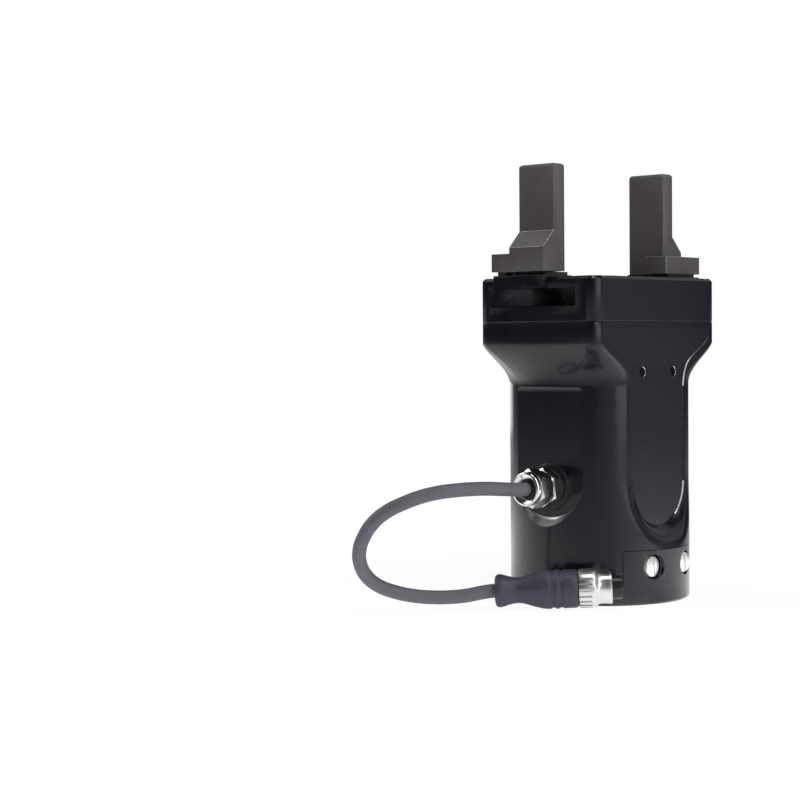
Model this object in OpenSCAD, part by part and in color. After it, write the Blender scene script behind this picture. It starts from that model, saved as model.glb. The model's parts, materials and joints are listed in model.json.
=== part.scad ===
// Electric two-finger parallel gripper with a flared head, for a robot wrist.
// +Z is up, the jaws travel along X, and the origin is the centre of the base flange's underside.
// The cable leaves on -X. The left jaw is the one at -X, and it runs on the +Y rail.
// The model rests with the jaws fully open.

/* [Base flange] */
// Diameter of the base flange and of the round barrel
barrel_d = 75; // [72:0.5:80]
// Height of the base flange
flange_h = 8; // [7.5:0.5:10]
// Height of the spigot that centres the housing on the flange
spigot_h = 2.5; // [2:0.1:3]
// Gap between that spigot and the housing
spigot_gap = 0.6; // [0.2:0.1:1]
// Circle of the wrist bolts
bolt_circle_d = 50; // [48:0.5:52]
// Diameter of the wrist bolt holes
bolt_hole_d = 6.6; // [6.4:0.1:7]
// Diameter of the recesses for the wrist bolt heads
bolt_head_d = 11; // [10.5:0.1:11.5]
// Depth of the recesses for the wrist bolt heads
bolt_head_h = 6.2; // [5.5:0.1:6.5]
// Diameter of the centring recess in the underside
recess_d = 31.5; // [28:0.5:32]
// Depth of the centring recess
recess_h = 3; // [2:0.1:4]
// Diameter of the dowel hole for the wrist
dowel_d = 6; // [5:0.5:6]
// Angle that the clamp tab covers
tab_angle = 77; // [70:1:84]
// Height of the clamp tab above the flange
tab_h = 14; // [13:0.5:16]
// Radial thickness of the clamp tab
tab_t = 6.2; // [5.5:0.1:6.5]
// Distance between the two clamp screws
clamp_spacing = 22; // [20:0.5:26]
// Height of the clamp screws above the flange
clamp_h = 7.2; // [7:0.1:8]
// Thread diameter of the clamp screws
clamp_d = 5; // [4:0.5:5]
// Diameter of a clamp screw's head
clamp_head_d = 8.4; // [7.6:0.1:8.8]
// Height of a clamp screw's head
clamp_head_h = 3; // [2.5:0.1:3.2]
// Diameter of the recess round a clamp screw's head
clamp_seat_d = 10; // [9.4:0.1:10.4]
// Depth of that recess at the screw's axis
clamp_seat_h = 3.2; // [3:0.1:3.6]
// Length of a clamp screw under its head
clamp_screw_l = 13; // [11:0.5:16]
// Thickness of the bottom plate that the clamp screws pull on
bottom_t = 9.8; // [9.4:0.1:11]

/* [Housing] */
// Height of the straight barrel between the flange and the flare
barrel_h = 80.5; // [79:0.5:90]
// Height of the flare from the barrel to the head
flare_h = 17.8; // [16:0.2:22]
// Height of the head below its parting line
head_h = 8.5; // [8:0.1:12]
// Wall thickness of the housing and of the head
wall = 3; // [2.6:0.1:3.4]
// Half width of each side flat, where its edge starts to round over
flat_half_w = 17.5; // [15:0.1:18.5]
// Height of the lowest point of each side flat above the flange
flat_rise = 23; // [20:0.5:30]
// Width of the sloping foot below each side flat
flat_foot_w = 4; // [3:0.1:6]
// Softness of the side flats' long edges
flat_edge = 3.1; // [2:0.1:3.6]
// Depth of the cable side's flat, at the middle of the barrel
pocket_depth = 4; // [3:0.1:5]
// Width of the sloping foot below that flat
pocket_foot_w = 3; // [1:0.1:4]
// Radius of the round lower end of the cable side's flat
pocket_r = 17; // [15:0.1:17.5]
// Distance between the two tapped side holes
side_hole_spacing = 21.4; // [18:0.2:24]
// Height of the side holes above the foot of the flare
side_hole_h = 5.7; // [5:0.1:8]
// Diameter of the side holes, tapped M5
side_hole_d = 4.2; // [3.3:0.1:5]
// Depth of the side holes
side_hole_depth = 5.4; // [4:0.1:5.5]

// Width of the ledge over the bottom plate
ledge_w = 6; // [5.8:0.1:6.6]
// Height of that ledge
ledge_h = 7.5; // [6:0.1:8]

/* [Head] */
// Thickness of the head's two end walls
end_wall = 3.4; // [3:0.1:4]
// Room between a rail's end and the end wall, for the corner posts
post_room = 8; // [7.6:0.1:9]
// Room across the head for each corner post
post_w = 4.8; // [4.6:0.1:5.2]
// Width of the head, and the distance between the side flats
head_w = 61.4; // [60.6:0.2:63]
// Radius of the head's upright corners
corner_r = 4.9; // [4:0.1:6]
// Height of the head cover
cover_h = 18.3; // [18.1:0.1:19]
// Chamfer round the top of the head cover
cover_chamfer = 1.2; // [0.5:0.1:1.4]
// Thickness of the cover beside the jaw slot, under the slot's lips
slot_rim = 7.7; // [7.5:0.1:7.9]
// Reach of the slot's lips over the slides
slot_lip = 2.3; // [2:0.1:2.6]
// Thickness of the cover beside the slot where only a slide's narrow tail runs
slot_far_rim = 10.5; // [10.4:0.1:10.8]
// Length of the roof that closes the slot's far half at each end of the cover
roof_l = 18.4; // [12:0.2:20]
// Height of the slot's floor above the parting line
slot_floor_h = 6.4; // [6.2:0.1:7]
// Height of the slot under its lips
slot_low_h = 7.3; // [7.2:0.1:7.8]
// Inset of the cover screws from the head's ends
cover_screw_x = 6.4; // [6:0.1:7]
// Inset of the cover screws from the head's long sides
cover_screw_y = 4.2; // [4:0.1:4.4]

/* [Jaws] */
// Travel of each jaw
jaw_travel = 25; // [20:0.5:25]
// Length of each slide bar
bar_l = 60; // [58:0.5:60]
// Distance that an open jaw stands out of the head's end
jaw_proud = 2; // [1:0.1:3]
// Height of a slide bar's flange, under the slot's lips
bar_low_h = 6.7; // [6:0.1:6.8]
// Height of a slide bar above its flange
bar_top_h = 4.6; // [4:0.1:4.8]
// Half width of the channel between the two slide bars' tops
channel_half_w = 5.7; // [5.6:0.1:7]
// Length of the jaw block that carries a finger
jaw_l = 19; // [18:0.1:19.1]
// Height of the jaw block's top above the head
jaw_rise = 0.9; // [0.5:0.1:2]
// Height of the seat between the jaw block and the finger
seat_h = 1.4; // [1:0.1:2]
// Set-back of the seat from the jaw block's outer end
seat_inset = 4; // [2:0.1:5]

/* [Fingers] */
// Distance between the two gripping faces with the jaws open
finger_gap = 68.8; // [66:0.2:70]
// Width of a finger's upright
finger_w = 17.7; // [15:0.1:18]
// Thickness of a finger's upright
finger_t = 7.1; // [5:0.1:9]
// Thickness of the block under the upright
finger_block_t = 13.8; // [12:0.1:15]
// Height of the block under the upright
finger_block_h = 9.7; // [9:0.1:12]
// Height of the whole finger
finger_h = 43.4; // [36:0.2:60]
// Length of the foot that a finger is screwed down by
foot_l = 25; // [24:0.1:26]
// Width of that foot beside the upright
foot_w = 9.3; // [9:0.1:9.6]
// Height of the foot
foot_h = 7.3; // [6.5:0.1:9]
// Rounding of a finger's tip
tip_r = 1.3; // [0.6:0.1:2]
// Diameter of the finger screws
finger_screw_d = 4; // [3:0.5:4]
// Distance between the two finger screws
finger_screw_spacing = 11.5; // [10:0.1:12]

/* [Rack and pinion] */
// Tooth module of the racks and their pinion
rack_module = 1; // [0.8:0.05:1]
// Teeth of the pinion
pinion_teeth = 16; // [16:2:16]
// Teeth of each rack
rack_teeth = 14; // [14:1:14]
// Height of the pinion
pinion_h = 7.1; // [5:0.1:7.4]
// Thickness of a rack behind its teeth
rack_back = 4; // [3:0.1:4.2]
// Pressure angle of all the teeth
pressure_angle = 25; // [24:0.5:26]

/* [Guides] */
// Thickness of the plate that carries rails, pinion and gearhead
plate_t = 7; // [6.6:0.1:8]
// Depth of that plate's top below the parting line
plate_sink = 2.8; // [2.4:0.1:3.2]
// Room between the guide blocks and the side wall
block_side_gap = 1.9; // [1.6:0.1:2.4]
// Width of a rail
rail_w = 6; // [5:0.1:6.4]
// Height of a rail
rail_h = 4.5; // [4:0.1:5]
// Room between a guide block and the rack beside it
block_rack_gap = 0.95; // [0.8:0.05:1.4]
// Length of a guide block
block_l = 17; // [16:0.1:18]
// Distance between a slide's two guide blocks
block_gap = 3; // [2:0.1:5]

/* [Gearhead] */
// Tooth module of the planetary stage
planet_module = 0.75; // [0.7:0.01:0.76]
// Teeth of the sun gear
sun_teeth = 12; // [12:6:12]
// Teeth of each planet gear
planet_teeth = 18; // [18:6:18]
// Number of planet gears
planet_count = 3; // [3:1:3]
// Width of the planetary gears
gear_w = 9.4; // [8:0.1:9.6]
// Thickness of the ring gear behind its teeth
ring_wall = 1.7; // [1.4:0.1:2]
// Wall of the gearhead case
case_wall = 3.9; // [3.6:0.1:4.2]
// Distance that the gearhead's top flange stands out of the case
case_lip = 2.4; // [2.2:0.1:2.6]
// Height of the gearhead case
case_h = 23; // [22.6:0.1:24]
// Thickness of the gearhead's top, which holds the upper planet bearing
case_neck = 6.4; // [6:0.1:7]
// Diameter of the output shaft in its bearings
shaft_d = 10; // [9:0.1:10.4]
// Diameter of the output shaft in the pinion
shaft_tip_d = 8; // [7:0.1:8.2]
// Outer diameter of the output shaft's bearings
bearing_d = 19; // [18:0.1:20]
// Width of the output shaft's bearings
bearing_w = 5; // [4:0.1:5.2]
// Diameter of the planet pins
planet_pin_d = 4; // [3:0.1:5]

/* [Motor] */
// Diameter of the motor can
motor_d = 41; // [38:0.2:41.4]
// Length of the motor can
motor_l = 35; // [33:0.2:36]
// Wall of the motor can
can_wall = 1.5; // [1:0.1:2]
// Thickness of the motor's front flange
motor_flange_t = 3; // [2.8:0.1:4]
// Diameter of the motor shaft
motor_shaft_d = 5; // [4:0.1:5.2]
// Diameter of the rotor over its magnets
rotor_d = 24.4; // [22:0.2:26]
// Length of the rotor and the stator
stack_l = 20; // [16:0.2:21]
// Air gap between rotor and stator
air_gap = 0.4; // [0.3:0.1:0.6]
// Number of stator teeth
stator_teeth = 9; // [9:3:9]
// Outer diameter of the motor bearings
motor_bearing_d = 13; // [12:0.1:14]
// Width of the motor bearings
motor_bearing_w = 4; // [3:0.1:4.2]

/* [Electronics] */
// Gap between the drive board and the ledge round it
board_gap = 2; // [1:0.1:4]
// Distance of the boards' screws from their edges
board_edge = 4; // [3.5:0.1:5]
// Thickness of the circuit boards
board_t = 1.6; // [1:0.1:2]
// Height of the posts under the drive board
post_h = 6; // [5:0.1:7]
// Diameter of those posts
post_d = 5.5; // [5:0.1:6]
// Diameter of the encoder board
encoder_d = 35; // [32:0.5:38]
// Distance from the encoder board to the motor
encoder_drop = 9.4; // [8:0.1:10]

/* [Cable gland] */
// Height of the cable gland above the base
gland_z = 47.5; // [46:0.5:56]
// Thread diameter of the cable gland
gland_thread_d = 12; // [11:0.1:13]
// Width across the flats of the gland body and of its dome nut
gland_flats = 14; // [13:0.1:16]
// Thickness of the gland's seal ring
gland_seal_t = 1.2; // [1:0.1:2]
// Thickness of the gland body's hexagon
gland_hex_t = 4.2; // [3:0.1:5]
// Thickness of the collar between gland body and dome nut
gland_collar_t = 1.3; // [1:0.1:2]
// Length of the dome nut
dome_l = 9.8; // [9.8:0.1:9.8]
// Thickness of the lock nut inside the wall
gland_nut_t = 3; // [2:0.1:3.5]

/* [Cable and plug] */
// Diameter of the cable
cord_d = 5.6; // [5:0.1:6]
// Length of the plug's moulded grip
plug_grip_l = 33.3; // [30:0.1:34]
// Largest diameter of the plug's grip
plug_d = 15.6; // [15:0.1:15.8]
// Diameter of the plug's knurled ring
plug_ring_d = 15.6; // [14:0.1:15.8]
// Length of the plug's knurled ring
plug_ring_l = 13.2; // [12:0.1:14]
// Diameter of the plain sleeve of that ring
plug_sleeve_d = 12.8; // [11.6:0.1:14]
// Distance that the insert stands out of the ring
plug_insert_out = 3.8; // [3:0.1:4.5]
// Diameter of the plug's insert
plug_insert_d = 9.4; // [8:0.1:10]
// Number of contacts in the plug
pin_count = 8; // [4:1:8]

/* [Screws] */
// Diameter of the screws that join the housing, the head and their plates
body_screw_d = 3; // [2.5:0.1:3]
// Diameter of the screws of the rails and the slides
slide_screw_d = 2.5; // [2:0.1:2.5]
// Diameter of the screws of the motor and its encoder
motor_screw_d = 2; // [1.6:0.1:2]

/* [Clearances] */
// Gap between fixed parts that fit into each other
fit_gap = 0.25; // [0.2:0.05:0.3]
// Gap between sliding and turning parts and their neighbours
slide_gap = 0.3; // [0.25:0.05:0.35]
// Gap on each side of a rail and of a shaft
run_gap = 0.05; // [0.03:0.01:0.08]
// Gap round screws and pressed parts
press_gap = 0.02; // [0.01:0.01:0.04]
// Thinning of each tooth flank
tooth_play = 0.08; // [0.06:0.01:0.1]

/* [Hidden] */
$fn = 64;

// Colours
black_metal = [0.13, 0.13, 0.14];
finger_grey = [0.31, 0.29, 0.31];
steel = [0.62, 0.63, 0.65];
nickel = [0.80, 0.80, 0.78];
rubber_grey = [0.38, 0.39, 0.42];
board_green = [0.10, 0.32, 0.18];
copper = [0.72, 0.40, 0.20];
bronze = [0.55, 0.44, 0.26];
dark_plastic = [0.08, 0.08, 0.09];

// Levels, from the bottom up
barrel_r = barrel_d / 2;
bottom_z = flange_h + spigot_h + fit_gap;
bottom_top_z = bottom_z + bottom_t;
flare_z = flange_h + barrel_h;
head_z = flare_z + flare_h;
split_z = head_z + head_h;
top_z = split_z + cover_h;
plate_top_z = split_z - plate_sink;
plate_z = plate_top_z - plate_t;
slot_floor_z = split_z + slot_floor_h;
slot_lip_z = slot_floor_z + slot_low_h;
bar_z = slot_floor_z + slide_gap;
bar_shoulder_z = bar_z + bar_low_h;
bar_top_z = bar_shoulder_z + bar_top_h;
jaw_top_z = top_z + jaw_rise;
finger_z = jaw_top_z + seat_h;
case_z = plate_z - case_h;
motor_z = case_z - motor_flange_t;
can_z = motor_z - motor_l;

// Housing outline: the loft runs from the barrel with its flats to the head's rounded rectangle
side_steps = 16;
end_steps = 8;
corner_steps = 7;
arch_steps = 12;
flare_steps = 12;
arch_z = flange_h + flat_rise + flat_half_w;
arch_low_z = arch_z - flat_half_w - flat_foot_w - 2;
foot_slope = (barrel_r - head_w / 2) / flat_foot_w;
pocket_x = barrel_r - pocket_depth;
end_half_w = sqrt(barrel_r * barrel_r - pocket_x * pocket_x);
pocket_z = gland_z + 1;
over = 1;

// Rack and pinion
rack_pitch = PI * rack_module;
pitch_r = rack_module * pinion_teeth / 2;
rack_root_y = pitch_r + 1.25 * rack_module;
rack_z = plate_top_z + 1.2;
rack_first = -11;
flank_steps = 4;

// Cavities and inner steps; the rails' length sets the head's
rail_l = jaw_travel + 2 * block_l + block_gap;
cavity_l = rail_l + 2 * post_room;
cavity_w = head_w - 2 * wall;
head_l = cavity_l + 2 * end_wall;
rack_outer_y = rack_root_y + rack_back;
block_w = cavity_w / 2 - block_side_gap - block_rack_gap - rack_outer_y;
rail_y = cavity_w / 2 - block_side_gap - block_w / 2;
slot_low_w = head_w - 2 * slot_rim;
slot_top_w = slot_low_w - 2 * slot_lip;
slot_far_y = head_w / 2 - slot_far_rim;
ledge_r = barrel_r - wall - ledge_w;
post_l = post_room - 0.5;
cover_bolt_x = head_l / 2 - cover_screw_x;
cover_bolt_y = head_w / 2 - cover_screw_y;
screw_head_sink = 3.4;
cover_screw_sink = 7;
rail_screw_sink = 5;
case_screw_sink = 5;
plate_screw_sink = 5;
plate_bolt_x = cavity_l / 2 - 4.5;
plate_bolt_y = rail_y - rail_w / 2;
bottom_bolt_r = barrel_r - wall - body_screw_d - 0.5;
clamp_seat_y = sqrt(pow(barrel_r, 2) - pow(clamp_spacing / 2, 2)) - clamp_seat_h;
bottom_bolt_angles = [20, 160, 200, 340];
bottom_screw_sink = 6;
bottom_relief_d = 26;
board_bolt_sink = 4;
boss_r = side_hole_d / 2 + 2.4;
boss_l = 3;

// Jaws and fingers, the left one at rest
grip_x = finger_gap / 2;
bar_end_x = head_l / 2 + jaw_proud;
bar_edge_y = slot_low_w / 2 - slide_gap;
bar_top_edge_y = slot_top_w / 2 - slide_gap;
bar_inner_y = 0.4;
bar_far_y = slot_far_y - slide_gap;
bar_top_l = head_l / 2 - roof_l + bar_end_x - jaw_travel - 0.4;
lane_end_x = jaw_l + jaw_travel - bar_end_x + 1;
jaw_reach_y = channel_half_w - slide_gap - 0.05;
finger_y = finger_w / 2;
finger_screw_x = [grip_x - 5.9, grip_x - 5.9 + finger_screw_spacing];
finger_screw_sink = 4.3;
finger_head_d = 1.75 * finger_screw_d;
finger_screw_y = finger_y + foot_w / 2;
seat_edge_y = finger_y + foot_w - 0.2;
seat_strip_y = seat_edge_y - 4.4;

block_x = [-rail_l / 2, block_l + block_gap - rail_l / 2];
block_z = plate_top_z + 1;
rack_bolt_x = [-29, -13.5, 4];
block_bolt_x = [block_x[0] + 12, block_x[1] + 4, block_x[1] + 12];
rack_bolt_y = rack_root_y + rack_back / 2;
slide_bolt_sink = 4;
slide_seat_z = bar_z + 3.5;
slide_head_d = 4.5;
block_bolt_y = bar_far_y - slide_head_d / 2 - 0.65;

// Gearhead and motor
planet_r = planet_module * planet_teeth / 2;
sun_r = planet_module * sun_teeth / 2;
carrier_arm = planet_r + sun_r;
ring_teeth = sun_teeth + 2 * planet_teeth;
case_bore_d = planet_module * (ring_teeth + 2.5) + 2 * ring_wall;
case_d = case_bore_d + 2 * case_wall;
case_flange_d = case_d + 2 * case_lip;
case_bolt_r = case_flange_d / 2 - 3;
flange_bolt_r = (case_bore_d + case_d) / 4;
case_flange_t = 4;
flange_screw_sink = 4;
gear_z = plate_z - case_neck - 4.3 - gear_w;
carrier_z = gear_z + gear_w + 0.3;
carrier_t = 3.9;
carrier_d = 2 * (carrier_arm + planet_pin_d / 2 + 2);
ring_top_z = carrier_z - slide_gap;
bearing_ring = 1.2;
bearing_balls = 9;
case_bearing_z = plate_z - 0.5 - bearing_w;
plate_bearing_z = plate_z + 1.5;
stack_z = can_z + 8;
can_end_t = motor_bearing_w + 0.5;
shaft_low_z = can_z - 5.5;
magnet_h = 2.5;
encoder_z = can_z - encoder_drop - board_t;
board_z = bottom_top_z + post_h;
board_d = 2 * (min(ledge_r, cavity_w / 2) - board_gap);
board_bolt_r = board_d / 2 - board_edge;
capacitor_h = encoder_z - board_z - board_t - board_gap;
encoder_bolt_r = encoder_d / 2 - 3;
encoder_bolt_angles = [30:120:270];
encoder_screw_sink = 2.5;
stator_r = motor_d / 2 - can_wall - press_gap;
stator_in_r = rotor_d / 2 + air_gap;

// Cable gland
gland_corner_d = gland_flats / cos(30);
gland_bore = cord_d + 0.8;
gland_inside = wall + gland_nut_t + 0.5;
gland_neck_d = gland_flats - 4;
gland_neck_l = 3;
dome_start = gland_seal_t + gland_hex_t + gland_collar_t;
dome_hex_l = 0.6 * dome_l;
dome_mouth_r = 3.6;
dome_round = [gland_flats / 2 - 0.1 - dome_mouth_r, dome_l - dome_hex_l];

// The cable's route, from the gland round to the plug
cord_points = [[-49, 0, 47.5], [-56, 0, 47.8], [-63.5, 0.4, 48.4], [-71, 1.4, 49], [-78, 3.4, 49.2],
    [-84.5, 6.4, 49], [-90.5, 10.2, 48.3], [-96, 14.6, 46.8], [-100.9, 19.5, 44.3],
    [-104.9, 24.8, 41], [-107.5, 29.7, 36.5], [-108.2, 33.9, 31.1], [-107.7, 37.1, 25.1],
    [-105.5, 38.7, 19.3], [-101.9, 38.5, 14.1], [-97.2, 36.3, 10.1], [-91.9, 32.3, 7.5],
    [-86.1, 27.5, 5.8], [-80.4, 22.4, 5.1], [-75.2, 17.4, 5.1], [-70.6, 12.8, 5.7],
    [-66.6, 9.1, 6.7], [-63.5, 6, 7.3], [-62.8, 5.1, 7.35]];
cord_sides = 10;
cord_side = [1, 1.6, 0];
plug_start = [-62.8, 5.1, 7.35];
plug_heading = -52.9;
plug_gap = 0.2;
plug_well_h = 6;
plug_insert_wall = 0.8;
plug_key_w = 1.4;
pin_d = 0.9;
plug_tilt = 2;

// ---------- shapes used by several pieces ----------

// A slab with round upright corners, centred on the axis
module rounded_slab(l, w, r, h) {
    linear_extrude(h) rounded_outline(l, w, r);
}

module rounded_outline(l, w, r) {
    square([l - 2 * r, w], center = true);
    square([l, w - 2 * r], center = true);
    for (x = [-1, 1], y = [-1, 1]) translate([x * (l / 2 - r), y * (w / 2 - r)]) circle(r);
}

module ring(outer_r, inner_r, h) {
    difference() {
        cylinder(r = outer_r, h = h);
        translate([0, 0, -1]) cylinder(r = inner_r, h = h + 2);
    }
}

// A socket screw whose head sits on z = 0 and whose shank points down
module cap_screw(d, head_d, head_h, length) {
    difference() {
        union() {
            cylinder(d = head_d, h = head_h);
            translate([0, 0, -length]) cylinder(d = d, h = length);
        }
        translate([0, 0, head_h * 0.45]) cylinder(d = d * 0.95, h = head_h, $fn = 6);
    }
}

// A socket screw of the size that joins housing, head and plates
module body_screw(length) {
    cap_screw(body_screw_d, 1.83 * body_screw_d, body_screw_d, length);
}

// A countersunk screw whose head is flush with z = 0
module flush_screw(d, length) {
    difference() {
        union() {
            translate([0, 0, -d / 2]) cylinder(d1 = d, d2 = 2 * d, h = d / 2);
            translate([0, 0, -length]) cylinder(d = d, h = length);
        }
        translate([0, 0, -d * 0.35]) cylinder(d = d * 0.8, h = d, $fn = 6);
    }
}

// The hole that a flush screw sits in, open above z = 0
module flush_hole(d, length) {
    translate([0, 0, -d / 2])
        cylinder(d1 = d + 2 * press_gap, d2 = 2 * d + 2 * press_gap, h = d / 2 + press_gap);
    translate([0, 0, -length]) cylinder(d = d + 2 * press_gap, h = length + 1);
}

module turned(angles) {
    for (a = angles) rotate([0, 0, a]) children();
}

// ---------- involute teeth ----------

function polar(r, a) = [r * cos(a), r * sin(a)];

// Angle by which an involute from the base circle has turned at radius r
function involute(base_r, r) = let(roll = sqrt(max(0, pow(r / base_r, 2) - 1))) roll * 180 / PI - atan(roll);

// Outline of a gear; play thins its teeth, so a negative play widens them for a ring gear's cutter
function gear_outline(teeth, module_size, tip, root, play) =
    let(pitch = module_size * teeth / 2,
        base = pitch * cos(pressure_angle),
        root_r = pitch - root * module_size,
        tip_r = pitch + tip * module_size,
        start_r = max(base, root_r),
        half = 90 / teeth - play / pitch * 180 / PI + involute(base, pitch),
        radii = [for (i = [0:flank_steps]) start_r + (tip_r - start_r) * i / flank_steps],
        foot = start_r > root_r ? [root_r] : [])
    [for (k = [0:teeth - 1]) let(middle = 360 * k / teeth) each concat(
        [for (r = foot) polar(r, middle - half)],
        [for (r = radii) polar(r, middle - half + involute(base, r))],
        [for (i = [flank_steps:-1:0]) polar(radii[i], middle + half - involute(base, radii[i]))],
        [for (r = foot) polar(r, middle + half)])];

module gear(teeth, module_size, h, bore) {
    difference() {
        linear_extrude(h) polygon(gear_outline(teeth, module_size, 1, 1.25, tooth_play));
        translate([0, 0, -1]) cylinder(d = bore, h = h + 2);
    }
}

// ---------- base ----------

module tab_sector(outer_r, inner_r, angle, h, z) {
    translate([0, 0, z]) intersection() {
        ring(outer_r, inner_r, h);
        rotate([0, 0, -90 - angle / 2]) rotate_extrude(angle = angle) square([outer_r + 5, h]);
    }
}

module clamp_places() {
    for (x = [-1, 1])
        translate([x * clamp_spacing / 2, 0, flange_h + clamp_h]) rotate([90, 0, 0]) children();
}

module base_flange() {
    color(black_metal) difference() {
        union() {
            cylinder(d = barrel_d, h = flange_h);
            cylinder(r = barrel_r - wall - spigot_gap, h = flange_h + spigot_h);
            tab_sector(barrel_r, barrel_r - tab_t, tab_angle, tab_h + 1, flange_h - 1);
        }
        translate([0, 0, -1]) cylinder(d = recess_d, h = recess_h + 1);
        turned([45:90:315]) translate([bolt_circle_d / 2, 0, 0]) {
            translate([0, 0, -1]) cylinder(d = bolt_hole_d, h = flange_h + spigot_h + 2);
            translate([0, 0, flange_h + spigot_h - bolt_head_h])
                cylinder(d = bolt_head_d, h = bolt_head_h + over);
        }
        translate([bolt_circle_d / 2, 0, -1]) cylinder(d = dowel_d, h = flange_h + spigot_h + 2);
        clamp_places() {
            cylinder(d = clamp_d + 2 * fit_gap, h = barrel_d);
            translate([0, 0, clamp_seat_y]) cylinder(d = clamp_seat_d, h = barrel_d);
        }
    }
}

module clamp_screws() {
    color(nickel) clamp_places() translate([0, 0, clamp_seat_y])
        cap_screw(clamp_d, clamp_head_d, clamp_head_h, clamp_screw_l);
}

module bottom_plate() {
    color(steel) difference() {
        translate([0, 0, bottom_z]) cylinder(r = barrel_r - wall - fit_gap, h = bottom_t);
        tab_sector(barrel_r, barrel_r - tab_t - fit_gap, tab_angle + 1.5, bottom_t + 2, bottom_z - 1);
        clamp_places() translate([0, 0, clamp_seat_y - clamp_screw_l - over])
            cylinder(d = clamp_d + 2 * press_gap, h = barrel_d);
        turned(bottom_bolt_angles) translate([bottom_bolt_r, 0, bottom_z]) mirror([0, 0, 1])
            flush_hole(body_screw_d, bottom_t + over);
        translate([0, 0, bottom_z - over]) cylinder(d = bottom_relief_d, h = bottom_t - 3 + over);
        turned([45:90:315]) translate([board_bolt_r, 0, bottom_top_z - board_bolt_sink])
            cylinder(d = slide_screw_d + 2 * press_gap, h = board_bolt_sink + over);
    }
}

module bottom_screws() {
    color(steel) turned(bottom_bolt_angles)
        translate([bottom_bolt_r, 0, bottom_z]) mirror([0, 0, 1])
            flush_screw(body_screw_d, bottom_t + bottom_screw_sink);
}

// ---------- housing ----------

function spread(n, from, to) = [for (i = [0:n - 1]) from + (to - from) * i / n];

// Minimum of two depths with a soft change from one to the other
function soft_min(a, b, k) = let(h = max(k - abs(a - b), 0)) min(a, b) - h * h / (4 * k);

// How far the foot of a side flat slopes out at x and z
function foot_ramp(x, z) = z >= arch_z ? 0
    : let(reach = norm([x, arch_z - z])) max(0, reach - flat_half_w) * foot_slope * (arch_z - z) / reach;

// A barrel point in direction a, pressed in by the side flats
function barrel_point(a, z) =
    let(p = polar(barrel_r, a), depth = soft_min(abs(p.y), head_w / 2 + foot_ramp(p.x, z), flat_edge))
    [p.x, abs(p.y) < 1 ? p.y : sign(p.y) * depth];

// Faces 0 and 2 are the long sides, 1 and 3 the ends; a corner follows each face
function facing(q) = 90 * q - 90;
function half_angle(q) = asin((q % 2 == 0 ? flat_half_w : end_half_w) / barrel_r);
function face_steps(q) = q % 2 == 0 ? side_steps : end_steps;
function face_depth(q) = (q % 2 == 0 ? head_w : head_l) / 2;

barrel_directions = [for (q = [0:3]) each concat(
    spread(face_steps(q), facing(q) - half_angle(q), facing(q) + half_angle(q)),
    spread(corner_steps, facing(q) + half_angle(q), facing(q + 1) - half_angle(q + 1)))];

head_points = [for (q = [0:3]) let(straight = face_depth(q + 1) - corner_r) each concat(
    [for (s = spread(face_steps(q), -straight, straight))
        polar(face_depth(q), facing(q)) + polar(s, facing(q) + 90)],
    [for (a = spread(corner_steps, facing(q), facing(q) + 90))
        polar(face_depth(q) - corner_r, facing(q)) + polar(straight, facing(q) + 90) + polar(corner_r, a)])];

// Share of the head's outline at a share of the flare's height
function flare_share(t) = pow(1 - pow(1 - t, 1.5), 2.3);

function housing_ring(z) =
    let(share = flare_share(min(1, max(0, (z - flare_z) / flare_h))))
    [for (i = [0:len(head_points) - 1])
        let(p = (1 - share) * barrel_point(barrel_directions[i], z) + share * head_points[i]) [p.x, p.y, z]];

// A closed solid through rings of equally many points
module loft(rings) {
    n = len(rings[0]);
    last = (len(rings) - 1) * n;
    sides = [for (j = [0:len(rings) - 2], i = [0:n - 1]) each [
        [j * n + i, (j + 1) * n + i, j * n + (i + 1) % n],
        [j * n + (i + 1) % n, (j + 1) * n + i, (j + 1) * n + (i + 1) % n]]];
    caps = [[for (i = [0:n - 1]) i], [for (i = [n - 1:-1:0]) last + i]];
    polyhedron(points = [for (r = rings) each r], faces = concat(caps, sides), convexity = 6);
}

module housing_outside() {
    levels = concat([flange_h], spread(arch_steps, arch_low_z, arch_z), [arch_z],
        spread(flare_steps, flare_z, head_z), [head_z, split_z]);
    loft([for (z = levels) housing_ring(z)]);
}

module corner_posts(grow, h) {
    for (x = [-1, 1], y = [-1, 1])
        translate([x * (cavity_l - post_l + grow) / 2, y * (cavity_w - post_w + grow) / 2, h / 2])
            cube([post_l + 2 * grow, post_w + 2 * grow, h], center = true);
}

// Barrel cavity of one wall's thickness inside the flats
module barrel_cavity(r, h) {
    linear_extrude(h) intersection() {
        circle(r);
        translate([wall - pocket_x, -head_w / 2 + wall]) square([pocket_x + barrel_r, head_w - 2 * wall]);
    }
}

module housing_inside() {
    translate([0, 0, flange_h - 1]) cylinder(r = barrel_r - wall, h = bottom_top_z - flange_h + 1);
    translate([0, 0, bottom_top_z - 1]) barrel_cavity(ledge_r, ledge_h + 2);
    translate([0, 0, bottom_top_z + ledge_h])
        barrel_cavity(barrel_r - wall, plate_z - bottom_top_z - ledge_h + over);
    translate([0, 0, plate_z]) difference() {
        rounded_slab(cavity_l, cavity_w, corner_r - wall, head_h + head_z);
        corner_posts(0, head_h + head_z);
    }
}

module cable_pocket() {
    translate([-pocket_x - 10, -pocket_r, pocket_z]) cube([10, 2 * pocket_r, flare_z - pocket_z]);
    foot_r = pocket_r - pocket_foot_w;
    reach = pocket_depth + over;
    spread = (foot_r + pocket_foot_w * reach / pocket_depth) / foot_r;
    translate([-pocket_x, 0, pocket_z]) rotate([0, -90, 0])
        linear_extrude(reach, scale = [spread, 1], slices = 1)
        scale([foot_r / pocket_r, 1]) circle(pocket_r, $fn = 64);
}

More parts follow.
